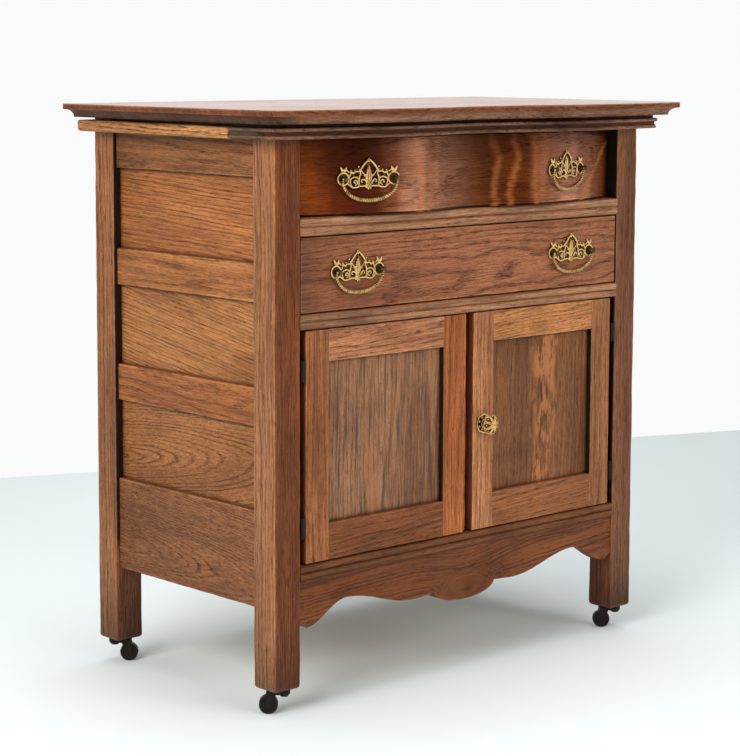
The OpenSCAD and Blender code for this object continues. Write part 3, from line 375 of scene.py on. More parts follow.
OAK_RAIL = oak("oak_rail", 3.0, 0.45, 0.8, streaks=0.6, stain=0.5)
OAK_RAW = oak("oak_raw", 5.5, 0.6, 1.0, streaks=0.7, rough=0.6, wear=0.4, relief=1.8)
BRASS = metal("aged_brass", (0.90, 0.57, 0.235), (0.095, 0.046, 0.011), 0.26, 0.54)
DARK_BRASS = metal("dark_brass", (0.34, 0.24, 0.10), (0.035, 0.022, 0.010), 0.34, 0.1)
IRON = metal("dark_iron", (0.085, 0.060, 0.044), (0.014, 0.011, 0.009), 0.32, metallic=0.7)
STEEL = metal("hinge_steel", (0.07, 0.06, 0.052), (0.018, 0.015, 0.012), 0.42, metallic=0.7)

# The boards' colours, as the light of the room shows them: mostly their own, with painted light and shade
# where marked
POST_SIDE = (0.325, 0.136, 0.055)
POST_REAR = (0.255, 0.098, 0.034)
POST_FRONTS = {"front_left": (0.180, 0.047, 0.010), "front_right": (0.190, 0.069, 0.026)}
# Near-black painted shade for faces inside recesses: the posts' sides beside the drawers, doors and side
# panels, the rails' undersides over the side panels, and the stiles' sides beside the door panels
REVEAL_SHADE = (0.012, 0.006, 0.004)
LEG_INNER = (0.18, 0.06, 0.024)
SIDE_RAILS = ((0.205, 0.076, 0.026), (0.32, 0.110, 0.033), (0.355, 0.134, 0.042), (0.235, 0.091, 0.030))
SIDE_PANELS = ((0.27, 0.103, 0.031), (0.33, 0.132, 0.042), (0.352, 0.126, 0.037))
RAILS = {"drawer_rail": (0.34, 0.152, 0.072), "door_rail": (0.28, 0.122, 0.058),
         "base_rail": (0.122, 0.038, 0.010)}
TOP_TONE = (0.30, 0.115, 0.048)
TOP_EDGE = (0.165, 0.052, 0.021)
COVE = (0.27, 0.128, 0.075)
MOULDING = (0.16, 0.068, 0.040)
# Painted shade in the moulding's hollow and in the recess over its upper bead
MOULDING_SHADE = (0.052, 0.022, 0.011)
PALE = (0.47, 0.215, 0.083)
STUB = (0.105, 0.060, 0.040)
# The upper drawer's face across x: the veneer's own tones, with painted light on the serpentine's bulges and
# painted shade in its hollows
UPPER_TONES_AND_PAINTED_LIGHT = ((-290, (0.26, 0.060, 0.009)), (-245, (0.100, 0.016, 0.002)), (-215, (0.062, 0.010, 0.002)),
               (-185, (0.070, 0.012, 0.002)), (-155, (0.22, 0.070, 0.030)), (-120, (0.54, 0.24, 0.143)),
               (-85, (0.48, 0.200, 0.113)), (-30, (0.31, 0.120, 0.061)), (10, (0.150, 0.045, 0.013)),
               (35, (0.095, 0.020, 0.003)), (95, (0.100, 0.022, 0.003)), (125, (0.34, 0.12, 0.055)),
               (185, (0.45, 0.185, 0.118)), (240, (0.42, 0.165, 0.092)), (290, (0.26, 0.062, 0.014)))
LOWER_TONE = (0.285, 0.100, 0.041)
LOWER_END = (0.172, 0.061, 0.025)
APRON = (0.190, 0.052, 0.008)
# Each door's stiles, low and high in x, its bottom and top rail, its panel and the low edges of its stiles,
# darker with painted shade in the gap beside the door
DOORS = {"left": ((0.295, 0.103, 0.033), (0.41, 0.123, 0.033), (0.178, 0.055, 0.015), (0.38, 0.149, 0.063),
                  (0.260, 0.118, 0.058), (0.16, 0.036, 0.012)),
         "right": ((0.41, 0.167, 0.065), (0.35, 0.140, 0.052), (0.333, 0.119, 0.038), (0.435, 0.172, 0.057),
                   (0.190, 0.070, 0.024), (0.14, 0.036, 0.014))}
# Painted light: the meeting lip is lighter than its oak, so that it shows in the shaded gap between the doors
LIP_PAINTED_LIGHT = (0.55, 0.16, 0.060)
WHITE = (1.0, 1.0, 1.0)


# Shapes
class Shape:
    """Gathers the mesh of one piece, in millimetres, with the grain, wear and tone of each point."""

    def __init__(self):
        self.points, self.faces, self.grain, self.wear, self.tone, self.finish = [], [], [], [], [], []

    def point(self, p, grain, wear, tone):
        self.points.append(p)
        self.grain.append(grain)
        self.wear.append(wear)
        self.tone.append(tone)

    def add(self, face):
        self.faces.append(face)
        self.finish.append(0)

    def loft(self, rings, place=None, tone=WHITE, loop=False):
        """Joins rings, each as long as the first, and closes both ends or joins them in a loop. Their points
        are (x, y, z, wear) or (x, y, z, wear, tone). place gives a point's place in its tree, and tone is a
        colour or gives a point's colour."""
        base, n, rows = len(self.points), len(rings[0]), len(rings)
        for ring in rings:
            for *p, wear, own in (q if len(q) > 4 else (*q, None) for q in ring):
                self.point(p, place(p) if place else p, wear, own or (tone(p) if callable(tone) else tone))
        for i in range(rows if loop else rows - 1):
            step = ((i + 1) % rows - i) * n
            for j in range(n):
                a, b = base + i * n + j, base + i * n + (j + 1) % n
                self.add((a, b, b + step, a + step))
        if not loop:
            self.add(tuple(base + j for j in reversed(range(n))))
            self.add(tuple(base + (rows - 1) * n + j for j in range(n)))

    def build(self, name, body, node, slot, *materials, sharp=38):
        """Makes the piece, which stands for one node of the frame."""
        mesh = bpy.data.meshes.new(name)
        mesh.from_pydata([shaded(p, MM) for p in self.points], [], self.faces)
        for key, kind, values in (("grain", "FLOAT_VECTOR", [c * MM for g in self.grain for c in g]),
                                  ("wear", "FLOAT", self.wear),
                                  ("tone", "FLOAT_VECTOR", [c for t in self.tone for c in t])):
            data = mesh.attributes.new(key, kind, "POINT").data
            data.foreach_set("value" if kind == "FLOAT" else "vector", values)
        mesh.polygons.foreach_set("material_index", self.finish)
        work = bmesh.new()
        work.from_mesh(mesh)
        bmesh.ops.recalc_face_normals(work, faces=work.faces)
        work.to_mesh(mesh)
        work.free()
        mesh.polygons.foreach_set("use_smooth", [True] * len(mesh.polygons))
        mesh.set_sharp_from_angle(angle=radians(sharp))
        for material in materials:
            mesh.materials.append(material)
        piece = add_object(name, mesh)
        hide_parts(node)
        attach(piece, body)


def box(node):
    """Lowest and highest corner of a CAD node, in millimetres."""
    return tuple(tuple(c / MM for c in corner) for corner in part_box(node))


def solids(node):
    """Boxes of a CAD node's solids, in millimetres, from the lowest up and then from left to right."""
    mesh = frame["nodes"][node].data
    where = [tuple(round(c / MM, 2) for c in v.co) for v in mesh.vertices]
    parent = {p: p for p in where}

    def root(p):
        while parent[p] != p:
            parent[p] = parent[parent[p]]
            p = parent[p]
        return p

    for face in mesh.polygons:
        first = root(where[face.vertices[0]])
        for v in face.vertices[1:]:
            parent[root(where[v])] = first
    groups = {}
    for p in where:
        groups.setdefault(root(p), []).append(p)
    boxes = [tuple(tuple(end(p[k] for p in g) for k in range(3)) for end in (min, max))
             for g in groups.values()]
    return sorted(boxes, key=lambda b: (round(b[0][Z]), b[0][X], b[0][Y]))


def middle(lo, hi):
    return [(a + b) / 2 for a, b in zip(lo, hi)]


boards_made = 0


def cut(along, across, out, centre, pith=0.0, depth=40.0, lean=0.0, bow=0.0):
    """Where a board lay in its tree, each in another stretch of it. Its grain runs along one axis. The pith
    is depth behind its centre and pith to one side, and moves by bow and lean for each millimetre along."""
    global boards_made
    boards_made += 1
    shift = 731.0 * boards_made

    def place(p):
        u = p[along] - centre[along]
        return (u + shift, p[across] - centre[across] - pith - lean * u,
                p[out] - centre[out] + depth - bow * u)

    return place


def straight(along, out, lo, hi, depth=260.0, pith=90.0, lean=0.0):
    """Nearly straight grain along one axis."""
    return cut(along, 3 - along - out, out, middle(lo, hi), pith, depth, lean)


ARC = 3
WORN_BAND = 2.5
OUTWARD = ((0, -1), (1, 0), (0, 1), (-1, 0))


def section(a0, a1, b0, b1, radii, cuts, edge, band):
    """A rectangle with round corners and points along its sides, as (a, b, wear, outward a, outward b)."""
    arcs = []
    for a, b, start, r in zip((a0, a1, a1, a0), (b0, b0, b1, b1), (180, 270, 0, 90), radii):
        ca, cb = a + r if a == a0 else a - r, b + r if b == b0 else b - r
        turns = angles(start, start + 90, ARC)
        arcs.append([(ca + r * cos(t), cb + r * sin(t), edge, cos(t), sin(t)) for t in turns])
    out = []
    for k, corner in enumerate(arcs):
        (ea, eb), (na, nb) = corner[-1][:2], arcs[(k + 1) % 4][0][:2]
        length = max(hypot(na - ea, nb - eb), 1e-6)
        inner = min(band, 0.3 * length) / length
        out += corner
        out += [(ea + (na - ea) * f, eb + (nb - eb) * f, 0.0, *OUTWARD[k])
                for f in spread(inner, 1 - inner, cuts[k % 2] + 1)]
    return out


def bar(shape, lo, hi, axis, place, tone, sides=None, r=1.0, worn=0.7, cuts=(0, 0), step=16.0, ends=None,
        edge=1.0, band=WORN_BAND):
    """A sawn board with rounded, unevenly worn edges. sides gives some of its sides other colours, by axis
    and direction, or is a function that gives them for a place along it. cuts are extra lines of points."""
    a, b = ((Y, Z), (Z, X), (X, Y))[axis]
    seed = boards_made * 3.7
    low, high = lo[axis], hi[axis]
    first, last = ends or (r, r)
    start, stop = low + first + band, high - last - band
    stations = [(low + first * (1 - sin(t)), first * (1 - cos(t)), True) for t in angles(90, 0, ARC)]
    stations += [(t, 0.0, False) for t in spread(start, stop, max(1, ceil((stop - start) / step)))]
    stations += [(high - last * (1 - sin(t)), last * (1 - cos(t)), True) for t in angles(0, 90, ARC)]
    rings = []
    for t, inset, at_end in stations:
        rough = [uneven(t / 22, 9.1 * k, seed) + 0.6 * uneven(t / 7, 5.3 * k, seed + 4) for k in range(4)]
        radii = [r * limit(1 + worn * 1.6 * f, 0.45, 2.6) for f in rough]
        here = sides(t) if callable(sides) else sides or {}
        ring = []
        for pa, pb, w, na, nb in section(lo[a] + inset, hi[a] - inset, lo[b] + inset, hi[b] - inset,
                                         radii, cuts, edge, band):
            p = [0.0, 0.0, 0.0]
            p[axis], p[a], p[b] = t, pa, pb
            one, other = here.get((a, 1 if na > 0 else -1), tone), here.get((b, 1 if nb > 0 else -1), tone)
            ring.append((*p, edge if at_end else w, blend(other, one, na * na)))
        rings.append(ring)
    shape.loft(rings, place)


# The case, from the frame
post_lo, post_hi = box("post_front_left")
rear_lo, rear_hi = box("post_rear_left")
FACE_Y = post_lo[Y]
INNER_X = -post_hi[X]
HALF_W = -post_lo[X]
BACK_Y = rear_hi[Y]
MOULDING_Z = box("front_moulding")[0][Z]


def make_posts():
    apron_z = box("apron")[1][Z]
    for corner in ("front_left", "front_right", "rear_left", "rear_right"):
        lo, hi = box("post_" + corner)
        front = "front" in corner
        tone = POST_SIDE if front else POST_REAR
        shown = {(Y, -1): POST_FRONTS[corner]} if front else {}
        hidden = (X, 1 if "left" in corner else -1) if front else (Y, -1)

        def sides(z):
            """The foot is darker, and the side towards the middle is painted with shade over the apron's
            upper edge.
            """
            here = {(k, way): tone for k in (X, Y) for way in (-1, 1)}
            here = {**here, **shown, hidden: LEG_INNER if z < apron_z else REVEAL_SHADE}
            foot = min(1.0, 0.45 + 0.55 * (z - lo[Z]) / 120)
            return {way: shaded(colour, foot) for way, colour in here.items()}

        shape = Shape()
        bar(shape, lo, hi, Z, straight(Z, X, lo, hi, depth=180, pith=70, lean=0.012), tone, sides, r=1.3,
            worn=0.8, ends=(4.5, 0.5), edge=0.55)
        shape.build(corner + "_post", "case", "post_" + corner, "case_oak", OAK)


# Where each side panel lay in its tree, from the lowest up: pith, depth, lean, bow
PANEL_FIGURES = ((-6, 30, -0.10, 0.13), (120, 60, 0.16, 0.0), (-150, 120, 0.05, 0.0))
RAIL_IN, RAIL_THICK = 5.7, 18.0


def make_sides():
    for side, sign in (("left", -1), ("right", 1)):
        shape = Shape()
        for i, (lo, hi) in enumerate(solids(side + "_side_rails")):
            x = sorted((sign * (HALF_W - RAIL_IN), sign * (HALF_W - RAIL_IN - RAIL_THICK)))
            lo, hi = (x[0], post_hi[Y], lo[Z]), (x[1], rear_lo[Y], hi[Z])
            if i == 0:
                centre = ((lo[X] + hi[X]) / 2, (lo[Y] + hi[Y]) / 2 + 20, lo[Z] + 35)
                place = cut(Y, Z, X, centre, 0, sign * -34, 0.05, sign * -0.10)
            else:
                place = straight(Y, X, lo, hi, depth=sign * -150, pith=60 - 30 * i, lean=0.03)
            # The undersides of the rails over the panels are painted with shade
            bar(shape, lo, hi, Y, place, SIDE_RAILS[i], {(Z, -1): REVEAL_SHADE} if i else {}, r=1.1,
                ends=(0.4, 0.4), cuts=(1, 4), step=12)
        shape.build(side + "_rails", "case", side + "_side_rails", "case_oak", OAK)
        shape = Shape()
        for i, (lo, hi) in enumerate(solids(side + "_side_panels")):
            pith, depth, lean, bow = PANEL_FIGURES[i]
            x, y, z = middle(lo, hi)
            place = cut(Y, Z, X, (x, y - 30, z), pith, sign * -depth, lean, sign * -bow)
            # Its borders, where it sits in the frame, are darkened through wear under 0: dirt and painted
            # shade
            bar(shape, lo, hi, Y, place, SIDE_PANELS[i], r=0.5, edge=-1.2, band=11, cuts=(1, 6), step=12)
        shape.build(side + "_panels", "case", side + "_side_panels", "panel_oak", OAK_FIGURED)


def beads(z0, z1, out):
    """Section of a rail with two beads, as (y in front of the posts' faces, z, wear), from the foot up."""
    r, end = (z1 - z0) / 4, 78
    points = []
    for centre in (z0 + r, z0 + 3 * r):
        for t in angles(-end, end, 8):
            y = -out + (out + 0.2) * (1 - cos(t)) / (1 - cos(radians(end)))
            points.append((y, centre + r * 0.93 * sin(t) / sin(radians(end)), cos(t) * 1.5 - 0.5))
        points.append((0.4, centre + r, -0.8))
    return points[:-1]


def make_rails():
    thick, end_gap = 20.0, 0.1
    for node, colour in RAILS.items():
        lo, hi = box(node)
        place = straight(X, Y, (-INNER_X, lo[Y], lo[Z]), (INNER_X, hi[Y], hi[Z]), 120, 40, 0.015)
        seed = boards_made * 2.3
        rings = []
        for x in spread(end_gap - INNER_X, INNER_X - end_gap, 40):
            dent = max(0.0, 0.5 * uneven(x / 18, seed, 0))
            rings.append([(x, FACE_Y + y + dent, z, w) for y, z, w in beads(lo[Z], hi[Z], FACE_Y - lo[Y])]
                         + [(x, FACE_Y + thick, z, 0.0) for z in (hi[Z], lo[Z])])
        shape = Shape()
        shape.loft(rings, place, lambda p: shaded(colour, 0.86 + 0.15 * (p[X] + INNER_X) / INNER_X))
        shape.build(node + "_beaded", "case", node, "case_oak", OAK_RAIL, sharp=50)


def wave(u, half, end, swell_x=168.0, swell=24.0, power=1.8):
    """The serpentine line: its projection at distance u from the middle of the front, here for the top."""
    if u < swell_x:
        return swell * ease(u / swell_x)
    return swell + (end - swell) * ((u - swell_x) / (half - swell_x)) ** power


CORNER_OUT = 5.0
CURVE_STEPS = 96
# How much a clipped corner grows with each millimetre outwards
CLIP_GROWTH = 2 - sqrt(2)


def make_top():
    lo, hi = box("top_board")
    front = FACE_Y - lo[Y] - 24.0
    thick = hi[Z] - lo[Z]
    square, cove, r, clip_at_edge = 8.0, 15.0, 1.6, 16.0
    low = thick - square
    # Rings from the middle of the underside, round the edge, to the middle of the top: (inset, height, wear)
    # Wear under 0 along the underside and the foot of the cove is painted shade under the top's overhang
    levels = [(cove + 30, 0.0, 0.0), (cove, 0.0, -0.6)]
    levels += [(cove * cos(t) + 0.6, low * sin(t), 0.07 * i - 0.35)
               for i, t in enumerate(angles(0, 90, 8)) if i]
    levels += [(0.5, low + 0.3, 0.9), (0.0, low + 1.2, 0.6), (0.0, thick - square / 2, 0.0)]
    levels += [(r * (1 - cos(t)), thick - r + r * sin(t), 0.9) for t in angles(0, 90, 4)]
    levels += [(6.0, thick, 0.0), (40.0, thick, 0.0)]
    rings = []
    for d, up, w in levels:
        def chip(*at):
            return 0.35 * max(0.0, uneven(*at)) if w > 0 else 0.0

        z, h, face = lo[Z] + up, hi[X] - d, FACE_Y - front + d
        clip = max(1.0, clip_at_edge - d * CLIP_GROWTH)
        ring = [(x, face - wave(abs(x), h, CORNER_OUT) + chip(x / 9, up / 3, 1.7), z, w)
                for x in spread(clip - h, h - clip, CURVE_STEPS)]
        back = hi[Y] - min(d, 4.0 if d < 20 else d)
        for s in (1, -1):
            side = [(s * (h - chip(y / 9, up / 3, 5.1 * s)), y, z, w)
                    for y in spread(face - CORNER_OUT + clip, back, 20)]
            ring += side[::s]
        rings.append(ring)
    shape = Shape()

    def tone(p):
        if p[Z] > hi[Z] - 0.4:
            return TOP_TONE
        if p[Z] > hi[Z] - square - 0.1:
            return TOP_EDGE
        # Painted shade: the cove is darker along the left side, under the top's overhang
        return shaded(COVE, limit((p[X] + 390) / 60, 0.4))

    shape.loft(rings, cut(X, Y, Z, (0, 40, hi[Z]), 60, 150, 0.02), tone)
    # The last rows of faces and the two that close the ends are polished
    polished = (len(levels) - 7) * len(rings[0])
    shape.finish = [int(k >= polished) for k in range(len(shape.faces))]
    shape.build("top", "case", "top_board", "dark_oak", OAK_EDGE, OAK_TOP, sharp=30)


MOULDING_OUT = 23.0
HOLLOW_Z = 7.3


def moulding_profile(height):
    """Section of the moulding, as (projection, height, wear), from its foot up: a bead, a hollow, a bead."""
    r, top_out, lift, hollow_r = 2.45, 2.0, 12.2, 2.7
    points = [(0.0, 0.0, 0.0), (MOULDING_OUT - r, 0.0, 0.0)]
    points += [(MOULDING_OUT - r + r * cos(t), r + r * sin(t), cos(t) * 1.3 - 0.3)
               for t in angles(-80, 80, 8)]
    points += [(MOULDING_OUT - 0.2 + hollow_r * cos(t), HOLLOW_Z + hollow_r * sin(t), -0.35)
               for t in angles(235, 125, 6)]
    points += [(MOULDING_OUT + top_out - r + r * cos(t), lift + r * sin(t), cos(t) * 1.3 - 0.4)
               for t in angles(-75, 85, 8)]
    back = MOULDING_OUT - 5.0
    return points + [(back, lift + r + 0.3, -0.8), (back, height, -0.8), (0.0, height, 0.0)]


def moulding_tone(p):
    """Painted shade between and over the two beads of the moulding, and lighter towards its right-hand end.
    """
    height = p[Z] - MOULDING_Z
    share = 1.0 if height > 14.8 else max(0.0, 1 - ((height - HOLLOW_Z) / 3.1) ** 2)
    return shaded(blend(MOULDING, MOULDING_SHADE, share), 1 + 0.6 * limit((p[X] - 130) / 170))


def make_front_moulding():
    lo, hi = box("front_moulding")
    profile = moulding_profile(hi[Z] - lo[Z])
    # How far inside the posts' sides its back lies at the ends, at the corners and along the front
    at_end, at_corner, in_front = 0.0, 4.0, 10.0

    def plan(p, inner, share):
        """A point of the plan where the moulding reaches p past the posts, share of the way to its end."""
        if p == 0.0:
            return ((HALF_W - inner) * share, 0.0)
        clip = max(0.5, 9.0 + (p - MOULDING_OUT) * CLIP_GROWTH)
        if inner == in_front:
            x = (HALF_W + p - clip) * share
            return (x, p - CORNER_OUT + wave(abs(x), HALF_W + MOULDING_OUT, CORNER_OUT))
        return ((HALF_W + p) * share, p - clip if inner == at_corner else 0.0)

    path = [(at_end, -1), (at_corner, -1)] + [(in_front, f) for f in spread(-1, 1, CURVE_STEPS)]
    path += [(at_corner, 1), (at_end, 1)]
    rings = []
    for inner, share in path:
        ring = []
        for p, z, w in profile:
            x, out = plan(p, inner, share)
            ring.append((x, FACE_Y - out, lo[Z] + z, w))
        rings.append(ring)
    shape = Shape()
    shape.loft(rings, cut(X, Z, Y, (0, FACE_Y - 20, lo[Z]), 30, 90, 0.01), moulding_tone)
    shape.build("serpentine_moulding", "case", "front_moulding", "dark_oak", OAK_EDGE, sharp=50)


# Section of the raw length of moulding
RAW = ((0.0, 0.0, 0.0), (20.0, 0.0, 0.0), (22.5, 1.0, 0.6), (24.0, 3.0, 0.3), (24.6, 6.0, 0.0),
       (24.2, 9.0, 0.0), (24.6, 12.0, 0.0), (24.0, 14.2, 0.4), (22.0, 15.4, 0.6), (0.0, 15.6, 0.0))
# How far the raw length has sprung out at its rear end
SPLAY = 3.5


def make_side_mouldings():
    profile = moulding_profile(box("right_moulding")[1][Z] - MOULDING_Z)
    break_y = (box("left_moulding")[0][Y] + box("left_moulding_stub")[1][Y]) / 2 + 10
    # Name, side, start, stop, node, slot, material, tone, section, which end is broken
    runs = (("right_return", 1, FACE_Y, BACK_Y, "right_moulding", "dark_oak", OAK_EDGE, moulding_tone,
             profile, None),
            ("left_stub", -1, FACE_Y, break_y - 0.8, "left_moulding_stub", "dark_oak", OAK_EDGE, STUB,
             profile, 1),
            ("left_pale_length", -1, break_y + 0.8, BACK_Y, "left_moulding", "pale_oak", OAK_RAW, PALE,
             RAW, 0))
    for name, sign, start, stop, node, slot, material, tone, outline, broken in runs:
        rings = []
        for share in spread(0, 1, max(4, round((stop - start) / 8))):
            ring = []
            for p, z, w in outline:
                y, out = start + (stop - start) * share, 0.0
                if share == broken:
                    y += 6.0 * uneven(p / 5, z / 4, 3.3) + 4.5 * uneven(p / 2.2, z / 1.8, 8.1)
                if broken == 0 and p > 0:
                    out = SPLAY * share + 0.5 * uneven(y / 14, z / 3, 2.2)
                    z -= 0.9 * (1 - share)
                ring.append((sign * (HALF_W + p + out), y, MOULDING_Z + z, w))
            rings.append(ring)
        shape = Shape()
        shape.loft(rings, cut(Y, Z, X, (sign * HALF_W, 0, MOULDING_Z), 12, sign * -26, 0.03, 0.02), tone)
        shape.build(name, "case", node, slot, material, sharp=50)


# The apron's lower edge at distances from the middle: a round lobe as far as the cusp, a short straight, a
# soft line through the stops, and a straight from the tip to the post
CUSP_X, CUSP, LOBE = 58.0, 56.0, 74.0
TIP_X, TIP, END = INNER_X - 13.0, 64.0, 55.0
APRON_STOPS = ((CUSP_X + 10, CUSP + 1), (97.0, 58.5), (222.0, 35.0), (TIP_X, TIP))


def apron_drop(x):
    """Depth of the apron's lower edge under the base rail."""
    u = abs(x)
    if u < CUSP_X:
        return CUSP + (LOBE - CUSP) * sqrt(max(0.0, 1 - (u / CUSP_X) ** 2))
    if u < CUSP_X + 10:
        return CUSP + (u - CUSP_X) / 10
    for (u0, d0), (u1, d1) in zip(APRON_STOPS, APRON_STOPS[1:]):
        if u < u1:
            return d0 + (d1 - d0) * ease((u - u0) / (u1 - u0))
    return TIP + (END - TIP) * (u - TIP_X) / (INNER_X - TIP_X)


def make_apron():
    lo, hi = box("apron")
    stops = spread(0.2 - INNER_X, INNER_X - 0.2, 150)
    stops += [s * x for s in (-1, 1) for x in (CUSP_X, TIP_X, 57.2, 56.0, 58.8)]
    stops = sorted(set(round(x, 3) for x in stops))
    tree = cut(X, Z, Y, (0, lo[Y], hi[Z] - 40), -60, 90, 0.04)
    knot_x, knot_z = 4.0, hi[Z] - 60.0

    def from_knot(p):
        return hypot((p[X] - knot_x) / 2.2, p[Z] - knot_z)

    def place(p):
        """The grain parts round the knot and closes again on both sides of it."""
        u, v, w = tree(p)
        v += 13.0 * exp(-((p[X] - knot_x) / 46.0) ** 2 / 3) * tanh((p[Z] - knot_z) / 15.0)
        far = from_knot(p)
        near = exp(-(far / 15.0) ** 2)
        return (u * (1 - 0.7 * near), v + (70.0 + 1.6 * far - v) * near, w)

    rows, r = 18, 1.4
    rings = []
    for x in stops:
        bottom = hi[Z] - apron_drop(x) + 0.6 * max(0.0, uneven(x / 12, 3.0, 0.0))
        ring = [(x, lo[Y], z, -0.5 if i == 0 else 0.0 if i < rows else 0.9)
                for i, z in enumerate(spread(hi[Z], bottom + r, rows))]
        ring += [(x, lo[Y] + r * (1 - cos(a)), bottom + r * (1 - sin(a)), 0.9) for a in angles(30, 90, 2)]
        rings.append(ring + [(x, hi[Y], bottom, 0.2), (x, hi[Y], hi[Z], 0.0)])
    shape = Shape()
    shape.loft(rings, place, lambda p: shaded(APRON, 1 - 0.65 * exp(-(from_knot(p) / 4.0) ** 2)))
    shape.build("scalloped_apron", "case", "apron", "case_oak", OAK_APRON, sharp=40)


# Drawers
FRONT_T = 22.0
GAP_IN = 0.2
SUNK = 20.0


def upper_face(x):
    """Distance of the upper drawer's face behind the posts' faces."""
    return -wave(abs(x), 303.0, -SUNK, 125.0, 22.0, 1.4)


def colour_at(stops, x):
    """The colour at x between stops of (x, colour)."""
    for (x0, one), (x1, other) in zip(stops, stops[1:]):
        if x < x1:
            return blend(one, other, limit((x - x0) / (x1 - x0)))
    return stops[-1][1]


def make_upper_front():
    lo, hi = box("upper_drawer_front")
    half, height = hi[X] - GAP_IN, hi[Z] - lo[Z]
    r, steps = 1.2, 120
    # Rings from the foot up, as (set-back, height, wear)
    levels = [(r, 0.0, 0.0), (r * 0.3, r * 0.3, 0.0), (0.0, r, 0.0), (0.0, r + 1.1, 0.0), (0.0, r + 1.7, 0.8)]
    levels += [(0.0, z, 0.0) for z in spread(r + 4, height - r - 8, 9)]
    levels += [(0.0, height - k, 0.0) for k in (7.2, 6.6, 5.2, 3.8)]
    levels += [(0.0, height - r, 0.8), (r * 0.3, height - r * 0.3, 1.0), (r, height, 0.8)]
    line = spread(-half, half, steps)
    rings = []
    for d, up, w in levels:
        z = lo[Z] + up
        ring = [(x, FACE_Y + upper_face(x) + d, z, max(w, 0.8) if i in (0, steps) else w)
                for i, x in enumerate(line)]
        for x in line[::-4]:
            inner = min(SUNK, upper_face(x)) if abs(x) < 291 else SUNK
            ring.append((x, FACE_Y + inner + FRONT_T - GAP_IN, z, 0.0))
        rings.append(ring)

    def tone(p):
        """Painted shade: darker upwards under the moulding, at the right end beside the post, and near black
        along the lower edge and along the upper edge towards the right end.
        """
        light = 1.2 - 0.7 * ((p[Z] - lo[Z]) / height) ** 2
        if p[Z] < lo[Z] + 2.4 or p[Z] > hi[Z] - 8 * min(1.0, (p[X] - 190) / 70):
            light = 0.1
        return shaded(colour_at(UPPER_TONES_AND_PAINTED_LIGHT, p[X]), light * limit((300 - p[X]) / 12, 0.15))

    shape = Shape()
    shape.loft(rings, lambda p: (p[X], p[Z] - 700, p[Y] * 0.1 + 316), tone)
    shape.build("upper_front", "upper_drawer", "upper_drawer_front", "front_oak", OAK_FLAME, sharp=40)


def make_lower_front():
    lo, hi = box("lower_drawer_front")
    lo, hi = (lo[X] + GAP_IN, lo[Y], lo[Z]), (hi[X] - GAP_IN, hi[Y] - GAP_IN, hi[Z])
    place = cut(X, Z, Y, (40, lo[Y], (lo[Z] + hi[Z]) / 2), -20, 70, 0.035, -0.02)
    shape = Shape()
    bar(shape, lo, hi, X, place, LOWER_TONE, r=1.0, cuts=(1, 5), step=14,
        sides=lambda x: {(Y, -1): blend(LOWER_END, LOWER_TONE, min(1.0, (x - lo[X]) / 45))})
    shape.build("lower_front", "lower_drawer", "lower_drawer_front", "front_oak", OAK_VENEER)


STILE = 40.0
PANEL_HELD = 5.0
SEAM = 0.15


def make_doors():
    for side, depth, pith, panel_oak in (("left", 150, 4, OAK_PANEL), ("right", 60, 8, OAK_BLAZE)):
        body = side + "_door"
        lo, hi = box(body + "_frame")
        panel_lo, panel_hi = box(body + "_panel")
        low_stile, high_stile, bottom, top, panel, edge = DOORS[side]
        shape = Shape()
        # The side of each stile that faces low x is painted with shade: in the gap beside the door on the low
        # stile, near black beside the panel on the high stile
        for x0, x1, tone, dark in ((lo[X], lo[X] + STILE, low_stile, edge),
                                   (hi[X] - STILE, hi[X], high_stile, REVEAL_SHADE)):
            a, b = (x0, lo[Y], lo[Z]), (x1, hi[Y], hi[Z])
            place = straight(Z, Y, a, b, depth=170, pith=55, lean=0.01)
            bar(shape, a, b, Z, place, tone, {(X, -1): dark}, r=0.9, edge=0.6)
        for z0, z1, tone in ((lo[Z], panel_lo[Z] + PANEL_HELD, bottom),
                             (panel_hi[Z] - PANEL_HELD, hi[Z], top)):
            a, b = (lo[X] + STILE + SEAM, lo[Y] + SEAM, z0), (hi[X] - STILE - SEAM, hi[Y], z1)
            place = straight(X, Y, a, b, depth=depth, pith=40, lean=0.05)
            bar(shape, a, b, X, place, tone, r=0.9, ends=(0.3, 0.3), cuts=(0, 2), edge=0.6)
        shape.build(side + "_frame", body, body + "_frame", "case_oak", OAK)
        x, _, z = middle(panel_lo, panel_hi)
        shape = Shape()
        place = cut(Z, X, Y, (x, panel_lo[Y], z), pith, 26, 0.02, 0.03)
        # Its borders, where it sits in the frame, are darkened through wear under 0: dirt and painted shade
        bar(shape, panel_lo, panel_hi, Z, place, panel, r=0.5, edge=-1.2, band=11, cuts=(6, 1), step=14)
        shape.build(side + "_panel", body, body + "_panel", "panel_oak", panel_oak)
    lo, hi = box("left_door_lip")
    shape = Shape()
    bar(shape, lo, hi, Z, straight(Z, Y, lo, hi, depth=120), LIP_PAINTED_LIGHT, r=1.4)
    shape.build("meeting_lip", "left_door", "left_door_lip", "case_oak", OAK)


# Pulls and knob: shapes given to the right, up and outwards from an origin
BAIL_OFF = 9.0
BORE_HALF = 38.5


def local(origin, right):
    """Turns distances to the right, up and outwards from an origin into a place."""
    origin, right = Vector(origin), Vector(right).normalized()
    out = right.cross(UP)
    return lambda u, v, w: tuple(origin + right * u + UP * v + out * w)


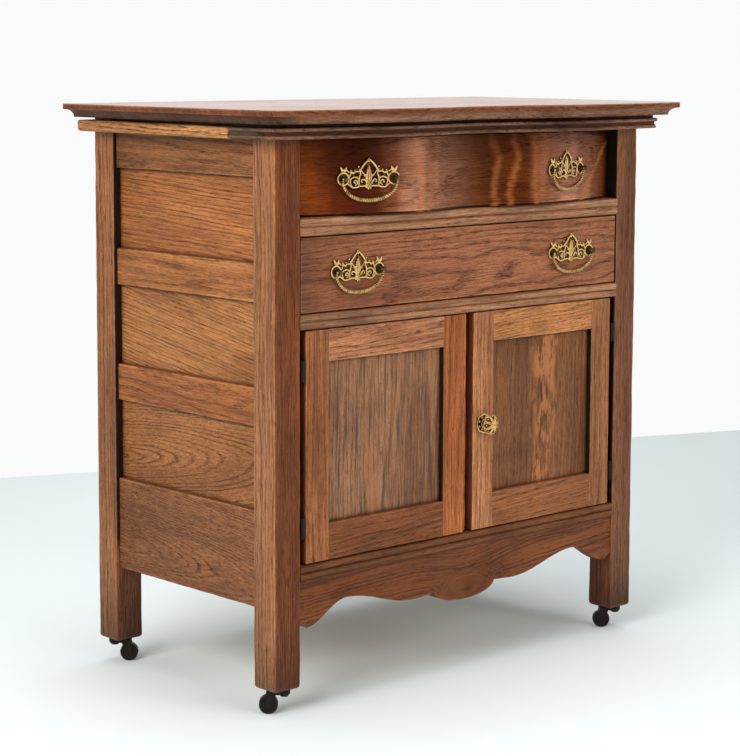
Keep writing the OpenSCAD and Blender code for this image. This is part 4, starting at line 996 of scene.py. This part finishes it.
def smooth(points, closed=False, steps=5):
    """A smooth line through the points."""
    n = len(points)
    line = []
    for i in range(n if closed else n - 1):
        near = [points[(i + k) % n if closed else limit(i + k, 0, n - 1)] for k in (-1, 0, 1, 2)]
        for t in spread(0, 1, steps)[:-1]:
            line.append(tuple(0.5 * (2 * q + (r - p) * t + (2 * p - 5 * q + 4 * r - e) * t * t
                                     + (3 * q - p - 3 * r + e) * t ** 3) for p, q, r, e in zip(*near)))
    return line if closed else line + [tuple(points[-1])]


def turns(count, shift=0.0):
    """Angles all the way round."""
    return [2 * pi * (i + shift) / count for i in range(count)]


def stroke(shape, to, line, sides=8, flat=1.0, closed=False, low=0.15, rope=0.0, pitch=4.2):
    """A cast bar along a line of (right, up, out, radius), bright on its outer side. rope is how deep two
    strands are cut into it."""
    n = len(line)
    rings = []
    length = 0.0
    for i, (*centre, radius) in enumerate(line):
        before, after = (line[k % n if closed else limit(k, 0, n - 1)] for k in (i - 1, i + 1))
        ahead = (Vector(after[:3]) - Vector(before[:3])).normalized()
        side = ahead.cross(UP).normalized()
        outer = side.cross(ahead)
        length += dist(line[max(i - 1, 0)][:3], centre)
        ring = []
        for a in turns(sides):
            strand = cos(2 * a + 2 * pi * length / pitch) if rope else 0.0
            r = radius * (1 + rope * strand)
            wear = 0.52 + 0.3 * strand if rope else low + (1 - low) * max(0.0, sin(a))
            ring.append((*to(*(Vector(centre) + side * r * cos(a) + outer * r * flat * sin(a))), wear))
        rings.append(ring)
    shape.loft(rings, loop=closed)


def hoop(radius, out, thick, count, u=0.0, lobes=0, depth=0.0):
    """A closed line for a stroke, round the outward axis through (u, 0)."""
    line = []
    for a in turns(count):
        r = radius * (1 + depth * cos(lobes * a))
        line.append((u + r * cos(a), r * sin(a), out, thick))
    return line


def turned(shape, to, u, v, profile, sides=16, lobes=0, depth=0.0):
    """A boss about the outward axis through (u, v), from its profile of (radius, out, wear). depth is how far
    its lobes stand out, as a share of the radius."""
    rings = []
    for radius, w, worn in profile:
        ring = []
        for a in turns(sides):
            lobe = cos(lobes * a) if lobes else 0.0
            r = radius * (1 + depth * lobe)
            ring.append((*to(u + r * cos(a), v + r * sin(a), w), worn + 0.3 * lobe))
        rings.append(ring)
    shape.loft(rings)


def ball(shape, to, u, v, r, foot=0.8, worn=0.85):
    profile = ((1, 0, 0.1), (1.05, 0.5, 0.4), (0.85, 1.05, worn), (0.45, 1.4, worn + 0.15),
               (0.08 / r, 1.5, worn + 0.15))
    turned(shape, to, u, v, [(r * wide, foot + r * out, w) for wide, out, w in profile], sides=12)


# Half of a leaf's section from its midrib out, as (share of its half width, share of its height, wear)
LEAF_HALF = ((0.0, 1.1, 1.0), (0.08, 0.98, 0.9), (0.2, 0.74, 0.3), (0.5, 0.86, 0.9), (0.82, 0.55, 0.5),
             (1.0, 0.0, 0.2))


def leaf(shape, to, line, foot=0.8):
    """A domed leaf with a midrib and side veins, along a line of (right, up, half width, height)."""
    across = [(-x, z, w) for x, z, w in LEAF_HALF[:0:-1]] + list(LEAF_HALF)
    rings = []
    for i, (u, v, half, height) in enumerate(smooth(line, steps=6)):
        ring = []
        for x, z, worn in across:
            dent = 0.10 * cos(2 * pi * i / 3) if 0.3 < abs(x) < 0.9 else 0.0
            p = to(u + x * half, v - abs(x) * half * 0.25, foot + height * (z + dent))
            ring.append((*p, worn + 3 * dent))
        rings.append(ring + [(*to(u + s * half * 0.9, v - half * 0.22, foot - 0.6), 0.0) for s in (1, -1)])
    shape.loft(rings)


def sheet(shape, to, outlines, low, high, bevel):
    """A cast sheet with bevelled edges, from its outer line and the lines of its piercings."""
    curve = bpy.data.curves.new("sheet_outline", "CURVE")
    curve.dimensions, curve.fill_mode = "2D", "BOTH"
    for line in outlines:
        spline = curve.splines.new("POLY")
        spline.points.add(len(line) - 1)
        for point, (u, v) in zip(spline.points, line):
            point.co = (u, v, 0, 1)
        spline.use_cyclic_u = True
    curve.extrude = (high - low) / 2 - bevel
    curve.bevel_depth, curve.offset, curve.bevel_resolution = bevel, -bevel, 1
    holder = bpy.data.objects.new("sheet_outline", curve)
    mesh = holder.to_mesh()
    found, index = {}, []
    for vertex in mesh.vertices:
        key = tuple(round(c, 3) for c in vertex.co)
        if key not in found:
            u, v, w = vertex.co
            found[key] = len(shape.points)
            shape.point(to(u, v, (low + high) / 2 + w), (u, v, w), 0.25 if w > 0 else -0.4, WHITE)
        index.append(found[key])
    for face in mesh.polygons:
        corners = tuple(dict.fromkeys(index[k] for k in face.vertices))
        if len(corners) > 2:
            shape.add(corners)
    holder.to_mesh_clear()
    bpy.data.objects.remove(holder)
    bpy.data.curves.remove(curve)


# The right half of a plate, in millimetres to the right of and above the middle of its bail's axis
CROWN_EDGE = ((4.5, -11), (12, -10.8), (24.6, -12.5), (34.5, -7), (32, 5), (28, 11), (24, 9.8), (20.7, 11.5),
              (15.7, 16.5), (13, 14.5), (7, 20.7), (3, 22.5))
CROWN_TOP, LEAF_FOOT = 26.6, -14.6
PIERCINGS = (((2.2, 5.6), (1.6, 17), (5.6, 18.4), (12.6, 10.4), (11.6, 5.4), (6, 5.4)),
             ((5.6, -4.2), (6.2, 2.2), (10, 3.6), (14.4, 1.6), (14.2, -5), (9.5, -7.4)),
             ((16.6, -1.4), (18.6, 1.4), (25, 1.4), (29.4, -2), (27.4, -8.8), (18.6, -8.8)),
             ((15.4, 4.4), (17.2, 9), (22.6, 7.2), (21.4, 3.4)),
             ((25, 5), (27.4, 7.4), (29.6, 3.4), (28.6, 2)))
RING_X, RING_R = BORE_HALF - 0.8, 7.9
NARROW, SLIM = 0.955, 1.12
# Raised lines of the relief, as (right, up, out, radius)
RELIEF = (((12.9, 5.2, 2, 1), (13.5, 11, 2.3, 1.2), (8.6, 17.8, 2.6, 1.4), (3.4, 22.6, 2.6, 1.2),
           (1.2, 24.6, 2.4, 0.9)),
          ((13.2, 12, 2, 0.9), (10, 8, 2.2, 0.8), (6.4, 5, 2.6, 0.9), (3, 3.6, 2.8, 1)),
          ((4.2, -9.4, 2.2, 1.3), (9, -9.5, 2.2, 1.2), (14, -9.6, 2.2, 1.2), (20, -11, 2.2, 1.3),
           (25.5, -11, 2.2, 1.2), (30, -8.2, 2, 1.1), (33.6, -6, 1.8, 0.8)),
          ((3.8, -6, 2.8, 1.4), (5.8, -2.4, 3, 1.3), (8.8, -0.9, 2.6, 1.1), (11.6, -1.8, 2.2, 0.9),
           (11.4, -4.2, 2, 0.9), (9.8, -4.4, 2, 0.8)),
          ((15.2, -9, 1.9, 1), (15.6, -3.4, 2.1, 1.1), (15.2, 1.8, 2.3, 1.2), (14, 5.6, 2.3, 1.1)),
          ((15.6, -0.6, 2, 0.9), (19, 1.9, 2.2, 1), (24, 1.9, 2.2, 1.1), (28.6, -0.6, 2, 1.1),
           (28.8, -5.6, 1.9, 1), (26.6, -8.8, 1.8, 0.8)),
          ((21.4, -8.4, 1.8, 0.9), (18.4, -6.2, 2, 1), (18.8, -2.8, 2.2, 1.1), (22, -2, 2.3, 1.1),
           (23.6, -4.2, 2.3, 1.1), (21.4, -5.4, 2.4, 1.2)),
          ((14.2, 12.6, 2, 0.9), (16, 9.2, 2.2, 1), (20.4, 9.6, 2.2, 1.1), (24.4, 7.4, 2.4, 1.4),
           (28, 9.4, 2.2, 1.2), (28.8, 6, 2, 1.2), (31.2, 2.2, 1.8, 1)),
          ((30.6, 8.6, 1.9, 0.9), (33.6, 10.4, 2.1, 1.1), (36.6, 13, 2.2, 1.2)))
# One petal of the flower over a ring, as (from the ring's middle, up, out, radius)
PETAL = ((1.4, 8.8, 1.6, 1.4), (2.6, 12, 2.4, 1.9), (4, 14.8, 2.2, 1.3), (4.6, 16.4, 1.8, 0.5))
# Small balls, as (right, up, radius)
BERRIES = ((6.6, 4.2, 1.7), (15.7, 15.6, 1.4), (7, 20.4, 1.2), (21.6, 11.2, 1.3), (27.6, 10.6, 1.4),
           (17.8, 0.2, 1.1))
LEAF = ((0, 18, 0.6, 1.6), (0, 14.5, 2.4, 2.4), (0, 9, 4.4, 3.1), (0, 3.6, 6.2, 3.4), (0, -0.8, 5.2, 3.2),
        (0, -4.6, 2.4, 2.4), (0, -6.4, 0.8, 1.6))
# Bosses, as (radius, out, wear)
RING_DISH = ((7.7, 0.15, -0.6), (7.7, 0.6, -0.6), (5.6, 0.45, -0.8), (3, 0.9, -0.6))
ROSETTE = ((4.6, 0.9, 0.1), (4.9, 2, 0.4), (4, 3.2, 0.6), (1.8, 3.6, 0.7), (1.4, 3, 0.2), (0.9, 3.9, 0.9),
           (0.1, 4.2, 1))


def placed(line, sign, shift=0.0):
    """A line of the plate on its right or left half, drawn in to its true width."""
    return [(sign * (u * NARROW + shift), *rest) for u, *rest in line]


def make_plate(shape, to):
    edge = placed(smooth(CROWN_EDGE, steps=3), 1)
    outlines = [[(0.0, LEAF_FOOT)] + edge + [(0.0, CROWN_TOP)] + [(-u, v) for u, v in reversed(edge)]]
    for s in (-1, 1):
        outlines += [placed(smooth(hole, closed=True, steps=4), s) for hole in PIERCINGS]
    sheet(shape, to, outlines, 0.1, 1.6, 0.35)
    for s in (-1, 1):
        for line in RELIEF:
            stroke(shape, to, [(*p, r * SLIM) for *p, r in smooth(placed(line, s))], low=-0.2)
        for way in (-1, 1):
            petal = [(way * u, *rest) for u, *rest in PETAL]
            stroke(shape, to, smooth(placed(petal, s, RING_X)), flat=0.8)
        ball(shape, to, s * RING_X, 11.6, 1.5, 1.6)
        for u, v, r in BERRIES:
            ball(shape, to, s * u * NARROW, v, r)
        stroke(shape, to, hoop(RING_R, 1.5, 1.35, 40, s * RING_X), closed=True)
        turned(shape, to, s * RING_X, 0.0, RING_DISH, sides=32)
    leaf(shape, to, LEAF)
    turned(shape, to, 0.0, -9.4, ROSETTE, sides=42, lobes=7, depth=0.16)
    stroke(shape, to, smooth([(0.0, -12.4, 1.8, 1.4), (0.0, -14.0, 1.4, 0.9), (0.0, -15.0, 1.0, 0.4)]))
    ball(shape, to, 0.0, 22.6, 1.5, 1.2)
    ball(shape, to, 0.0, 25.4, 1.4)


def make_bail(shape, to):
    """A roped handle that hangs from its two ends and leans in towards the drawer."""
    half, drop, power = BORE_HALF + 2.8, 28.0, 2 / 2.2
    line = []
    for a in angles(0, 180, 110):
        u = half * abs(cos(a)) ** power * (-1 if cos(a) > 0 else 1)
        v = -drop * abs(sin(a)) ** power
        inwards = 3.2 * min(1.0, -v / 6) + 2.0 * limit((-v - 16) / 8)
        if not line or dist((u, v), line[-1][:2]) > 0.7:
            line.append((u, v, -inwards, 1.5 + 1.5 * abs(sin(a)) ** 1.2))
    stroke(shape, to, line, sides=14, rope=0.05, pitch=3.4)
    for s in (-1, 1):
        ball(shape, to, s * half, 0.2, 1.7, -1.2)
        pivot = ((half, 1.5), (half - 2.0, 1.4), (BORE_HALF - 2.4, 1.4))
        stroke(shape, to, [(s * u, 0.0, 0.0, r) for u, r in pivot], sides=12, low=0.4)


JOINTS = {j["name"]: j for j in frame["record"]["behaviour"]["joints"]}


def make_pulls():
    for level in ("upper", "lower"):
        plates = Shape()
        for side in ("left", "right"):
            name = level + "_" + side + "_bail"
            joint = JOINTS[name + "_swing"]
            at, right = Vector(joint["pos_m"]) / MM, -Vector(joint["axis"])
            make_plate(plates, local(at - right.cross(UP) * BAIL_OFF, right))
            bail = Shape()
            make_bail(bail, local(at, right))
            bail.build(name + "_rope", name, name, "brass", BRASS, sharp=60)
        plates.build(level + "_pulls", level + "_drawer", level + "_pull_plates", "brass", BRASS, sharp=50)


PETALS = 8
ROSE = ((12.6, 0.1, 0), (12.6, 1, 0.2), (11, 0.9, -0.4), (7.6, 1.6, -0.3), (4.4, 1.8, 0))
# The knob over its spindle, as (radius, out, wear), and the middle of its face
KNOB = ((3.4, 2, 0.2), (6.6, 2.4, 0.4), (6.8, 3.4, 0.8), (5, 4.6, 0.2), (4.2, 7, 0.2), (4.6, 10.6, 0.3),
        (6.4, 11.4, 0.3), (10.4, 13.4, -0.2), (12.4, 15.6, -0.6), (12.1, 17.8, -0.6), (10.2, 19.9, -0.6),
        (6.8, 21.2, -0.5), (3, 21.7, -0.2), (0.1, 21.8, 0))
KNOB_MIDDLE = ((3.6, 21, 0.3), (3.8, 22, 0.7), (2.6, 22.5, 0.9), (0.9, 22.2, 0.4), (0.1, 22.7, 1))
HEAD_R, HEAD_LOW, HEAD_HIGH = 13.2, 15.2, 22.2
# Half of a looped petal, from its tip to its foot, as (share of its half width, share of the way up the head)
LOOP = ((0.45, 0.72), (0.82, 0.42), (0.7, 0.12))


def dome(turn, share):
    """A point over the knob's head, share 0 at its widest and 1 at its middle."""
    a = pi / 2 * share
    r = HEAD_R * cos(a)
    return (r * cos(turn), r * sin(turn), HEAD_LOW + (HEAD_HIGH - HEAD_LOW) * sin(a))


def make_knob():
    at = Vector(JOINTS["knob_turn"]["pos_m"]) / MM
    to = local(at, (1, 0, 0))
    plate = Shape()
    turned(plate, to, 0, 0, ROSE, sides=48, lobes=PETALS, depth=0.05)
    stroke(plate, to, hoop(12.5, 1.4, 1.3, 64, 0.0, PETALS, 0.05), closed=True)
    for a in turns(PETALS, 0.5):
        ball(plate, to, 8.8 * cos(a), 8.8 * sin(a), 1.5, 0.8)
    plate.build("knob_rose", "right_door", "knob_plate", "brass", BRASS, sharp=50)
    knob = Shape()
    tail = at.y - box("knob")[1][Y]
    turned(knob, to, 0, 0, ((3.4, tail, 0.3), *KNOB), sides=40)
    # Openwork over the head: looped petals with beads between and inside them, on a ring
    half = pi / PETALS
    for a in turns(PETALS):
        loop = [(a, 0.92)] + [(a - half * wide, up) for wide, up in LOOP]
        loop += [(a, -0.02)] + [(a + half * wide, up) for wide, up in LOOP[::-1]]
        line = smooth([(*dome(turn, up), 0.75) for turn, up in loop], closed=True, steps=3)
        stroke(knob, to, line, sides=6, closed=True, low=0.7)
        x, y, z = dome(a + half, 0.0)
        ball(knob, to, x * 0.97, y * 0.97, 1.2, z - 0.6, 1.0)
        x, y, z = dome(a, 0.34)
        ball(knob, to, x, y, 1.1, z - 1.4, 1.0)
    stroke(knob, to, hoop(12.8, 14.4, 1.0, 40), closed=True, low=0.6)
    turned(knob, to, 0, 0, KNOB_MIDDLE, sides=30, lobes=6, depth=0.14)
    knob.build("knob_openwork", "knob", "knob", "brass", BRASS, sharp=50)


make_posts()
make_sides()
make_rails()
make_top()
make_front_moulding()
make_side_mouldings()
make_apron()
make_upper_front()
make_lower_front()
make_doors()
make_pulls()
make_knob()

# Nodes that keep the frame's own shape get a material, and the inner boards' grain runs along one axis
INNER = {
    X: ("top_front_rail", "back_rails", "cabinet_floor", "upper_drawer_back", "upper_drawer_bottom",
        "lower_drawer_back", "lower_drawer_bottom"),
    Y: ("glue_blocks", "drawer_runners", "top_cleats", "upper_drawer_sides", "lower_drawer_sides"),
    Z: ("back_boards",)}


def dress(node, material):
    mesh = frame["nodes"][node].data
    mesh.materials.clear()
    mesh.materials.append(material)


for axis, nodes in INNER.items():
    wood = plain_wood("inner_wood_" + "xyz"[axis], axis)
    for node in nodes:
        dress(node, wood)
for node in frame["nodes"]:
    if "hinge" in node:
        dress(node, STEEL)
    elif "pull_posts" in node:
        dress(node, DARK_BRASS)
    elif "caster" in node or node == "catch":
        dress(node, IRON)

bpy.context.view_layer.update()
